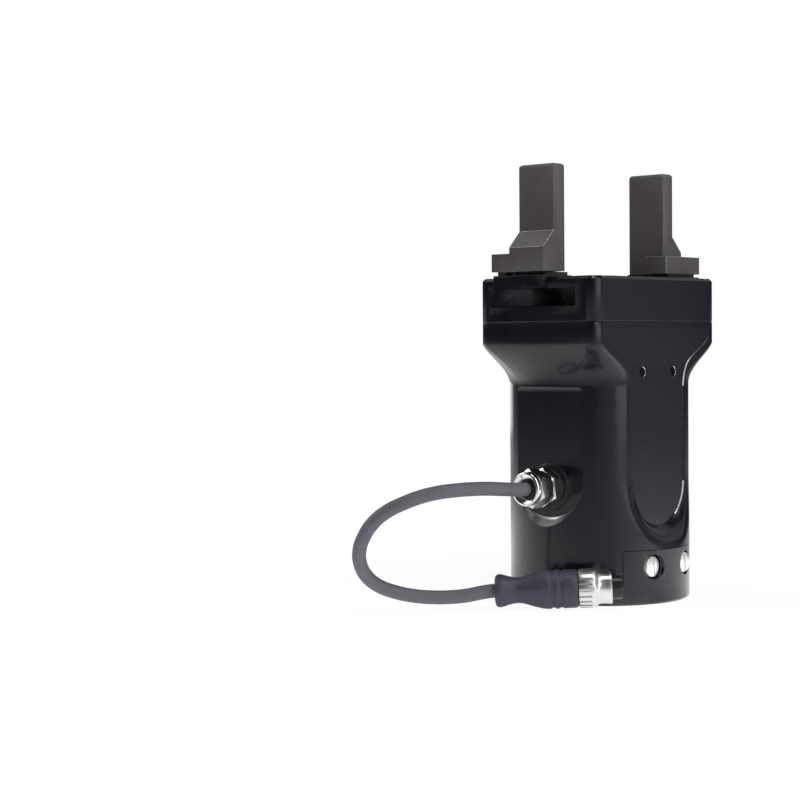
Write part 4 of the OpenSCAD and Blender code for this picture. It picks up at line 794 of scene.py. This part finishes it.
def side_hole_places():
    """The two tapped holes of the front side flat, with z running into the wall."""
    return [at(x, -FLAT_Y, SIDE_HOLE_Z) @ Matrix.Rotation(radians(-90), 4, "X") for x in (-SIDE_HOLE_X, SIDE_HOLE_X)]


def make_side_inserts():
    """The bright first thread of the two small side holes."""
    lip = [(TAP_R + 0.4, 0.5), (TAP_R + 0.4, 1.5), (TAP_R - 0.05, 1.5), (TAP_R - 0.05, 0.75)]
    inserts = join(*[turned(lip, place, steps=40) for place in side_hole_places()])
    return trim(smooth(inserts), "side_inserts", "base", NICKEL)


# ---------- base ----------

def make_base_flange():
    spigot_r = BARREL_R - WALL - 0.6
    top = FLANGE_H + SPIGOT_H
    flange = turned([(0, 0), (BARREL_R - 0.8, 0), (BARREL_R, 0.8), (BARREL_R, FLANGE_H - 0.35),
                     (BARREL_R - 0.35, FLANGE_H), (spigot_r, FLANGE_H), (spigot_r, top - 0.4),
                     (spigot_r - 0.4, top), (0, top)], name="base_flange", steps=180)
    join(flange, tab_sector(BARREL_R, BARREL_R - TAB_T, TAB_ANGLE, FLANGE_H - 1, TAB_TOP_Z))
    cuts = [turned([(0, -1), (16.4, -1), (15.75, 0.5), (15.75, 3), (0, 3)], steps=96)]
    for angle in (45, 135, 225, 315):
        p = polar(BOLT_CIRCLE_R, angle)
        cuts.append(turned([(0, -1), (4.0, -1), (3.3, 0.5), (3.3, top - 6.2), (5.5, top - 6.2), (5.5, top + 1),
                            (0, top + 1)], at(p.x, p.y, 0), steps=48))
    cuts.append(turned([(0, -1), (3.6, -1), (3, 0.4), (3, top + 1), (0, top + 1)], at(BOLT_CIRCLE_R, 0, 0)))
    for place in clamp_places():
        cuts.append(turned([(0, 0), (3.25, 0), (3.25, CLAMP_SEAT_Y), (5, CLAMP_SEAT_Y), (5, 36.3), (5.7, 37.4),
                            (5.7, 40), (0, 40)], place, steps=56))
    cut(flange, *cuts)
    return dress(rounded_edges(flange, 0.22, 2, 40), "base_flange", "base", BODY_BLACK)


def clamp_places():
    return [at(x, 0, CLAMP_Z) @ Matrix.Rotation(radians(90), 4, "X") for x in (-CLAMP_X, CLAMP_X)]


def socket_screw(d, head_d, head_h, length, key, place):
    """A socket head screw with a rounded head edge, its seat at z = 0 and its head above it."""
    r, edge = head_d / 2, 0.3
    rim = [(r - edge + edge * sin(radians(a)), head_h - edge + edge * cos(radians(a))) for a in (90, 60, 30, 0)]
    screw = turned([(0, -length), (d / 2 - 0.3, -length), (d / 2, 0.3 - length), (d / 2, 0), (r - 0.15, 0),
                    (r, 0.15)] + rim + [(r * 0.66, head_h), (0, head_h)], place, steps=56)
    socket = extruded(hexagon(key, 15), head_h * 0.35, head_h + 1, place)
    mouth = turned([(0, head_h - 0.35), (key * 0.5, head_h - 0.35), (key * 0.62, head_h + 0.05),
                    (key * 0.62, head_h + 1), (0, head_h + 1)], place, steps=36)
    return cut(screw, socket, mouth)


def make_clamp_screws():
    screws = []
    for place in clamp_places():
        seat = place @ at(0, 0, CLAMP_SEAT_Y)
        dome = [(4.2 * sin(radians(a)), 2.3 + 0.7 * cos(radians(a))) for a in range(90, -1, -10)]
        screw = turned([(0, -13), (2.7, -13), (3, -12.7), (3, 0), (4.05, 0), (4.2, 0.15)] + dome, seat, steps=56)
        slot = block((-0.4, -5, 1.9), (0.4, 5, 4), seat @ Matrix.Rotation(radians(8), 4, "Z"))
        screws.append(cut(screw, slot))
    return dress(rounded_edges(join(*screws), 0.1, 2, 40), "clamp_screws", "base", BRIGHT_ZINC)


# ---------- head ----------

def make_head_cover():
    def ring(z, inset=0.0):
        return [(p.x, p.y, z) for p in head_outline(inset, (2, 2, 16))]

    chamfer = 1.2
    cover = lofted([ring(SPLIT_Z, 0.3), ring(SPLIT_Z + 0.18, 0.08), ring(SPLIT_Z + 0.42), ring(TOP_Z - chamfer),
                    ring(TOP_Z, chamfer)], name="head_cover")
    tools = [head_room(SPLIT_Z - 1, SLOT_FLOOR_Z + 0.7),
             block((-HEAD_L, -SLOT_FAR_Y, SLOT_FLOOR_Z), (HEAD_L, SLOT_FAR_Y, SLOT_LIP_Z))]
    for turn in (Matrix.Identity(4), RIGHT_SIDE):
        tools.append(block((-HEAD_L, 0, SLOT_FLOOR_Z), (LANE_END_X, SLOT_LOW_W / 2, SLOT_LIP_Z), turn))
        tools.append(block((-HEAD_L, -CHANNEL_HALF_W, SLOT_FLOOR_Z),
                           (HEAD_L / 2 - ROOF_L, SLOT_TOP_W / 2, TOP_Z + 1), turn))
    for place in cover_screw_places():
        tools.append(turned([(0, -20), (1.55, -20), (1.55, -3.4), (3, -3.4), (3, -0.25), (3.35, 0.1), (3.35, 1),
                             (0, 1)], place, steps=40))
    cut(cover, *tools)
    return dress(rounded_edges(cover, 0.3, 3, 30), "head_cover", "base", BODY_BLACK)


def cover_screw_places():
    x, y = HEAD_L / 2 - 6.4, HEAD_W / 2 - 4.2
    return [at(sx * x, sy * y, TOP_Z) for sx in (-1, 1) for sy in (-1, 1)]


def make_cover_screws():
    screws = [socket_screw(3, 5.5, 3, 21, 2.5, place @ at(0, 0, -3.4)) for place in cover_screw_places()]
    return dress(smooth(join(*screws)), "cover_screws", "base", SCREW_BLACK)


# ---------- jaws ----------

def make_slide(side_name, right):
    """A slide bar with its jaw block and the raised seat of the finger."""
    end = -BAR_END_X
    slide = block((end, 0.4, BAR_Z), (end + BAR_L, BAR_FAR_Y, BAR_SHOULDER_Z), name="slide")
    join(slide,
         block((end, 0.4, BAR_Z), (end + JAW_L, BAR_EDGE_Y, BAR_SHOULDER_Z)),
         block((end, CHANNEL_HALF_W, BAR_SHOULDER_Z - 1), (end + BAR_TOP_L, BAR_FAR_Y, BAR_TOP_Z)),
         block((end, -JAW_REACH_Y, SLOT_LIP_Z), (end + JAW_L, BAR_TOP_EDGE_Y - 0.01, JAW_TOP_Z)),
         block((end, CHANNEL_HALF_W - 0.1, BAR_SHOULDER_Z - 1), (end + JAW_L, BAR_TOP_EDGE_Y, JAW_TOP_Z)),
         block((end + 4, 2 - JAW_REACH_Y, JAW_TOP_Z - 1), (end + JAW_L, SEAT_EDGE_Y, JAW_TOP_Z + SEAT_H)),
         block((end, SEAT_EDGE_Y - 4.4, JAW_TOP_Z - 1), (end + JAW_L, SEAT_EDGE_Y, JAW_TOP_Z + SEAT_H)))
    if right:
        slide.data.transform(RIGHT_SIDE)
    dress(rounded_edges(slide, 0.22, 2, 40), "slide_" + side_name, "jaw_" + side_name, BODY_BLACK)
    # Painted highlight: the top edge of the jaw's end gets the light bare finish as a bright line
    paint_edge_highlight(slide, lambda middle: abs(middle.x) > BAR_END_X - 0.4 and middle.z > JAW_TOP_Z - 0.4)


def tip_corner(x, z, start, steps=8):
    """A quarter round of the fingertip about a middle."""
    return [(x + TIP_R * cos(radians(a)), z + TIP_R * sin(radians(a)))
            for a in (start + 90 * i / steps for i in range(steps + 1))]


def make_finger(side_name, right):
    outer, back = -FINGER_OUTER_X, -GRIP_X - FINGER_T
    round_z = FINGER_Z + FINGER_H - TIP_R
    side = ([(outer, FINGER_Z), (-GRIP_X, FINGER_Z)] + tip_corner(-GRIP_X - TIP_R, round_z, 0)
            + tip_corner(back + TIP_R, round_z, 90)
            + [(back, FINGER_Z + SLOPE_TOP), (outer, FINGER_Z + SLOPE_LOW)])
    front = ([(-FINGER_Y, FINGER_Z - 1), (FINGER_Y, FINGER_Z - 1)] + tip_corner(FINGER_Y - TIP_R, round_z, 0)
             + tip_corner(TIP_R - FINGER_Y, round_z, 90))
    finger = lofted([[(x, y, z) for x, z in side] for y in (-FINGER_Y - 1, FINGER_Y + 1)], name="finger")
    shared(finger, lofted([[(x, y, z) for y, z in front] for x in (-2 * GRIP_X, 0)]))
    join(finger, block((outer, FINGER_Y - 1, FINGER_Z), (outer + FOOT_L, FINGER_Y + FOOT_W, FINGER_Z + FOOT_H)))
    cut(finger, *[turned([(0, -1), (2.2, -1), (2.2, 3), (3.7, 3), (3.7, 7.0), (4.0, 7.35), (4.0, 9), (0, 9)],
                         at(x, y, FINGER_Z), steps=40) for x, y in FINGER_SCREWS])

    # Painted highlights: the slope's edges and the foot's top edges get the light bare finish as bright lines
    def on_highlight_line(middle, near=0.5):
        x, y, up = middle.x, middle.y, middle.z - FINGER_Z
        if right:
            x, y = -x, -y
        slope_ends = abs(up - SLOPE_LOW) < near or abs(up - SLOPE_TOP) < near
        slope_side = abs(abs(y) - FINGER_Y) < near and SLOPE_LOW < up < SLOPE_TOP
        inner_end, side_end = x > outer + FOOT_L - near, y > FINGER_Y + FOOT_W - near
        foot_top = abs(up - FOOT_H) < near and (inner_end or side_end)
        return x < back + near and (slope_ends or slope_side) or foot_top or (inner_end and side_end)

    if right:
        finger.data.transform(RIGHT_SIDE)
    dress(rounded_edges(finger, 0.4, 3, 35), "finger_" + side_name, "jaw_" + side_name, FINGER_GREY)
    paint_edge_highlight(finger, on_highlight_line)


def make_finger_screws(side_name, right):
    screws = join(*[socket_screw(4, 7, 3.9, 8, 3.2, at(x, y, FINGER_Z + 3)) for x, y in FINGER_SCREWS])
    if right:
        screws.data.transform(RIGHT_SIDE)
    return dress(smooth(screws), "finger_screws_" + side_name, "jaw_" + side_name, SCREW_BLACK)


# ---------- gland ----------

def hex_nut(flats, low, high, ease, turn=0.0):
    """A hexagon on the gland with its corners eased at both ends."""
    corner = flats / sqrt(3)
    r = flats / 2
    body = extruded(hexagon(flats, turn), low, high, ON_GLAND)
    limits = turned([(0, low), (r + 0.05, low), (corner + 0.01, low + ease), (corner + 0.01, high - ease),
                     (r + 0.05, high), (0, high)], ON_GLAND, steps=96)
    return shared(body, limits)


def thread(r, low, high, pitch=1.0, depth=0.45):
    """Outline of a threaded length, as a comb of ridges."""
    points = []
    z = low
    while z + pitch <= high + 1e-6:
        points += [(r - depth, z), (r, z + 0.35 * pitch), (r, z + 0.65 * pitch)]
        z += pitch
    return points + [(r - depth, z)]


def make_gland():
    seal = turned([(6.05, 0.5), (7.1, 0.5), (7.4, 0.65), (7.45, 0.85), (7.4, 1.05), (7.1, 1.2), (6.05, 1.2)],
                  ON_GLAND)
    dress(smooth(seal, 50), "gland_seal", "base", SEAL_RUBBER)
    washer = turned([(6.1, 0), (9.7, 0), (9.7, 0.3), (9.5, 0.55), (9.2, 0.6), (6.1, 0.6)], ON_GLAND, steps=120)
    trim(smooth(washer, 50), "gland_washer", "base", SCREW_BLACK)

    body = hex_nut(GLAND_FLATS, 1.2, 5.4, 0.5)
    sleeve = turned([(3.2, -6.5), (5.6, -6.5), (6.0, -6.1)] + thread(6.0, -6.0, 0.4) +
                    [(5.4, 1.3), (6.4, 1.3), (6.4, 6.7), (5.0, 6.7), (5.0, 9.7), (3.2, 9.7)], ON_GLAND)
    body = join(body, sleeve)
    cut(body, hole(6.4, -8, 12, ON_GLAND))
    dress(rounded_edges(body, 0.12, 2, 40), "gland_body", "base", NICKEL)

    start, hex_end, end = 6.7, 13.4, 16.5
    rim_r, mouth_r = GLAND_FLATS / 2, 3.9
    dome = hex_nut(GLAND_FLATS, start + 0.12, hex_end, 0.6, 8.0)
    rim = [(rim_r - 0.9 + 0.9 * sin(radians(a)), end - 0.9 + 0.9 * cos(radians(a))) for a in range(90, -1, -15)]
    cap = turned([(0, start + 1), (rim_r - 0.45, start + 1), (rim_r - 0.45, hex_end + 0.25),
                  (rim_r, hex_end + 0.6)] + rim
                 + [(rim_r - 1.2, end - 0.08), (mouth_r + 0.3, end - 1.35), (mouth_r, end - 1.7),
                    (mouth_r, end - 2.6), (0, end - 2.6)], ON_GLAND, steps=96)
    dome = join(dome, cap)
    cut(dome, hole(10.1, 0, start + 3.2, ON_GLAND), hole(6.5, 0, 20, ON_GLAND))
    dress(rounded_edges(dome, 0.14, 2, 40), "gland_dome", "base", NICKEL)
    grommet = turned([(2.85, end - 2.6), (mouth_r - 0.05, end - 2.6), (mouth_r - 0.05, end - 1.9),
                      (mouth_r - 0.4, end - 1.5), (3.2, end - 1.3), (2.9, end - 1.5), (2.85, end - 1.9)], ON_GLAND)
    trim(smooth(grommet, 50), "gland_grommet", "base", SEAL_RUBBER)


# ---------- cable and plug ----------

def make_cable():
    data = bpy.data.curves.new("cable", "CURVE")
    data.dimensions = "3D"
    line = data.splines.new("BEZIER")
    line.bezier_points.add(len(CABLE_ROUTE) - 1)
    for knot, place in zip(line.bezier_points, CABLE_ROUTE):
        knot.co = place
        knot.handle_left_type = knot.handle_right_type = "AUTO"
    line.resolution_u = 8
    data.bevel_depth = CABLE_D / 2 * MM
    data.bevel_resolution = 8
    data.use_fill_caps = True
    cable = bpy.data.objects.new("cord", data)
    bpy.context.scene.collection.objects.link(cable)
    return dress(cable, "cord", "base", CABLE_JACKET)


def bent(points, steps=4):
    """A smooth outline through the points of a moulded form."""
    ends = [points[0]] + points + [points[-1]]
    smooth_points = []
    for a, b, c, d in zip(ends, ends[1:], ends[2:], ends[3:]):
        for i in range(steps):
            t = i / steps
            smooth_points.append(tuple(
                0.5 * (2 * q + (r - p) * t + (2 * p - 5 * q + 4 * r - s) * t * t + (3 * q - p - 3 * r + s) * t ** 3)
                for p, q, r, s in zip(a, b, c, d)))
    return smooth_points + [points[-1]]


def make_plug():
    swell = bent([(0.75 * PLUG_R, 0.3), (0.84 * PLUG_R, 1.2), (0.83 * PLUG_R, 3), (0.72 * PLUG_R, 6),
                  (0.66 * PLUG_R, 9), (0.72 * PLUG_R, 12), (0.86 * PLUG_R, 15.5), (0.97 * PLUG_R, 19),
                  (PLUG_R, 21)])
    groove = PLUG_R - 0.4
    grip = turned([(0, 0), (0.62 * PLUG_R, 0)] + swell
                  + [(PLUG_R, 22.3), (PLUG_R - 0.1, 22.5), (groove, 22.75), (groove, 23.8), (PLUG_R - 0.1, 24.0),
                     (PLUG_R, 24.25), (PLUG_R, 25.5), (PLUG_R - 0.1, 25.7), (groove, 25.95), (groove, 27),
                     (PLUG_R - 0.15, 27.2), (0.99 * PLUG_R, 27.45), (0.985 * PLUG_R, GRIP_L - 1.4),
                     (0.96 * PLUG_R, GRIP_L - 0.6), (0.9 * PLUG_R, GRIP_L), (0, GRIP_L)],
                    ON_PLUG, "plug_grip", steps=96)
    dress(smooth(grip, 40), "plug_grip", "base", PLUG_JACKET)

    base = GRIP_L + 0.2
    band_l = 0.52 * RING_L
    sleeve_r = PLUG_R - 1.5
    sweep = bent([(PLUG_R - 0.25, base + band_l - 0.1), (PLUG_R - 0.75, base + band_l + 0.35),
                  (sleeve_r + 0.2, base + band_l + 0.95), (sleeve_r, base + band_l + 2.0),
                  (sleeve_r, base + band_l + 3.6), (sleeve_r + 0.12, base + RING_L - 1.0)])
    ring = turned([(0, base + 0.1), (7.1, base + 0.1), (7.1, base), (PLUG_R - 0.35, base),
                   (PLUG_R - 0.1, base + 0.15), (PLUG_R, base + 0.45), (PLUG_R, base + band_l - 0.55),
                   (PLUG_R - 0.08, base + band_l - 0.3)] + sweep
                  + [(sleeve_r + 0.1, base + RING_L - 0.35), (sleeve_r - 0.1, base + RING_L - 0.08),
                     (sleeve_r - 0.35, base + RING_L), (0, base + RING_L)], ON_PLUG, steps=144)
    notches = [extruded([(PLUG_R - 0.75, -0.42), (PLUG_R + 1, -0.5), (PLUG_R + 1, 0.5), (PLUG_R - 0.75, 0.42)],
                        base - 1, base + 5.1, ON_PLUG @ Matrix.Rotation(2 * pi * i / RING_GRIPS, 4, "Z"))
               for i in range(RING_GRIPS)]
    cut(ring, *notches)
    cut(ring, turned([(0, -1), (4.8, -1), (4.8, base + RING_L - 3)]
                     + thread(5.3, base + RING_L - 3, base + RING_L, 0.75, 0.35)
                     + [(5.5, base + RING_L + 0.05), (5.5, base + RING_L + 2), (0, base + RING_L + 2)], ON_PLUG))
    dress(smooth(ring, 32), "plug_ring", "base", SATIN_NICKEL)

    end = base + RING_L + INSERT_OUT
    insert = turned([(0, GRIP_L), (INSERT_R, GRIP_L), (INSERT_R, end - 0.3), (INSERT_R - 0.25, end),
                     (INSERT_R - 0.7, end), (INSERT_R - 0.8, end - 0.2), (INSERT_R - 0.8, end - 7), (0, end - 7)],
                    ON_PLUG, steps=72)
    cut(insert, block((0.8, -0.7, end - INSERT_OUT), (INSERT_R + 1, 0.7, end + 1), ON_PLUG))
    dress(smooth(insert), "plug_insert", "base", PLUG_INSERT)

    pins = []
    for i in range(8):
        p = polar(INSERT_R - 2.2, 45 * i)
        low = end - 6
        pins.append(turned([(0, low), (0.45, low), (0.45, low + 5.1), (0.3, low + 5.4), (0, low + 5.5)],
                           ON_PLUG @ at(p.x, p.y, 0), steps=20))
    dress(smooth(join(*pins)), "plug_pins", "base", BRONZE)


# ---------- everything in its place ----------

cable = make_cable()
make_plug()
make_gland()
make_housing()
make_side_inserts()
make_base_flange()
make_clamp_screws()
make_head_cover()
make_cover_screws()
for side_name, right in (("left", False), ("right", True)):
    make_slide(side_name, right)
    make_finger(side_name, right)
    make_finger_screws(side_name, right)

# The works inside keep their solids and take the finish of their slot
for part in frame["record"]["subparts"]:
    works = bpy.data.objects.get(part["node"])
    if works and part["node"] not in REPLACED:
        for socket in works.material_slots:
            socket.material = SLOT_FINISHES[part["material_slot"]]


# ---------- studio ----------

def make_floor():
    """A white table top: plain white to the eye with a faint shadow, partly real and partly painted shade round the
    foot; a soft grey to what stands on it, with two glowing patches of painted light.
    """
    bm = bmesh.new()
    bmesh.ops.create_grid(bm, x_segments=1, y_segments=1, size=4000)
    floor = as_object("floor", bm, at(0, 0, -0.05))
    material = bpy.data.materials.new("floor_white")
    material.use_nodes = True
    tree = material.node_tree
    tree.nodes.clear()
    point = add(tree, "ShaderNodeNewGeometry").outputs["Position"]

    def distance_from(place):
        return add(tree, "ShaderNodeVectorMath", {0: point, 1: place}, operation="DISTANCE").outputs["Value"]

    # Painted shade: the glow is a little darker round the foot, so that the faint shadow there shows
    brightness = remap(tree, distance_from((0, 0, 0)), 0.15, 0.7, 0.93, 1.0)
    glow = add(tree, "ShaderNodeEmission", {"Color": (1, 1, 1, 1), "Strength": brightness})
    matt = add(tree, "ShaderNodeBsdfDiffuse", {"Color": (0.12, 0.12, 0.12, 1)})
    seen = add(tree, "ShaderNodeAddShader", {0: glow.outputs[0], 1: matt.outputs[0]})
    table = add(tree, "ShaderNodeBsdfDiffuse", {"Color": (0.85, 0.85, 0.85, 1)})
    # Painted light: two glowing patches of the table, seen only in reflections, that the base mirrors, one behind it
    # and one before it
    glow_behind = remap(tree, distance_from((-0.04, 0.23, 0)), 0.1, 0.38, 0.85, 0.03)
    glow_before = remap(tree, distance_from((0.08, -0.17, 0)), 0.03, 0.2, 1.5, 0.0)
    # sheen is the strength of this painted glow
    sheen = add(tree, "ShaderNodeEmission", {"Color": (1, 1, 1, 1),
                                             "Strength": compute(tree, "ADD", glow_behind, glow_before)})
    around = add(tree, "ShaderNodeAddShader", {0: table.outputs[0], 1: sheen.outputs[0]})
    path = add(tree, "ShaderNodeLightPath")
    mix = add(tree, "ShaderNodeMixShader", {0: path.outputs["Is Camera Ray"], 1: around.outputs[0],
                                            2: seen.outputs[0]})
    out = add(tree, "ShaderNodeOutputMaterial")
    tree.links.new(mix.outputs[0], out.inputs["Surface"])
    floor.data.materials.append(material)


# Name, azimuth and elevation in degrees, width and height in metres, and power in watts
SOFTBOXES = [
    ("left_card", 118, 25, (0.5, 0.45), 2.2),
    ("overhead", 200, 82, (0.3, 0.3), 1.65),
    ("front_left", 240, 26, (0.5, 0.45), 1.65),
    ("front_low", 260, 5, (0.9, 0.36), 1.9),
    ("front_high", 270, 50, (0.5, 1.3), 3.0),
    ("back_high", 90, 50, (0.5, 0.45), 0.45),
    ("back_left", 60, 5, (0.4, 0.36), 0.7),
    ("back_right", 0, 28, (0.5, 0.9), 0.45),
    ("right_card", 327, 30, (0.5, 0.6), 0.45),
    ("right_low", 308, 5, (0.7, 0.36), 0.26),
    ("front_left_low", 226, 5, (0.4, 0.36), 0.12),
    ("left_glint", 120, 32, (0.14, 0.14), 1.0),
    ("front_glint", 258, 56, (0.14, 0.14), 1.2)]
GRIPPER_MIDDLE = Vector((0, 0, 0.1))


def add_softbox(name, azimuth, elevation, size, power, reach=1.1):
    """A soft light that faces the gripper's middle from a direction in degrees."""
    data = bpy.data.lights.new(name, "AREA")
    data.shape = "RECTANGLE"
    data.size, data.size_y = size
    data.energy = power
    light = bpy.data.objects.new(name, data)
    a, e = radians(azimuth), radians(elevation)
    way = Vector((cos(a) * cos(e), sin(a) * cos(e), sin(e)))
    turn = (-way).to_track_quat("-Z", "Y").to_matrix().to_4x4()
    light.matrix_world = Matrix.Translation(GRIPPER_MIDDLE + way * reach) @ turn
    bpy.context.scene.collection.objects.link(light)


def make_world():
    """White to the eye, and nearly dark to what stands in it, so that the softboxes alone shape the gloss."""
    world = bpy.data.worlds.new("studio")
    bpy.context.scene.world = world
    world.use_nodes = True
    tree = world.node_tree
    tree.nodes.clear()
    seen = add(tree, "ShaderNodeBackground", {"Color": (1, 1, 1, 1), "Strength": 1.0})
    around = add(tree, "ShaderNodeBackground", {"Color": (1, 1, 1, 1), "Strength": 0.026})
    path = add(tree, "ShaderNodeLightPath")
    mix = add(tree, "ShaderNodeMixShader", {0: path.outputs["Is Camera Ray"], 1: around.outputs[0],
                                            2: seen.outputs[0]})
    out = add(tree, "ShaderNodeOutputWorld")
    tree.links.new(mix.outputs[0], out.inputs[0])


make_floor()
make_world()
for softbox in SOFTBOXES:
    add_softbox(*softbox)

bpy.context.scene.view_settings.view_transform = "Standard"
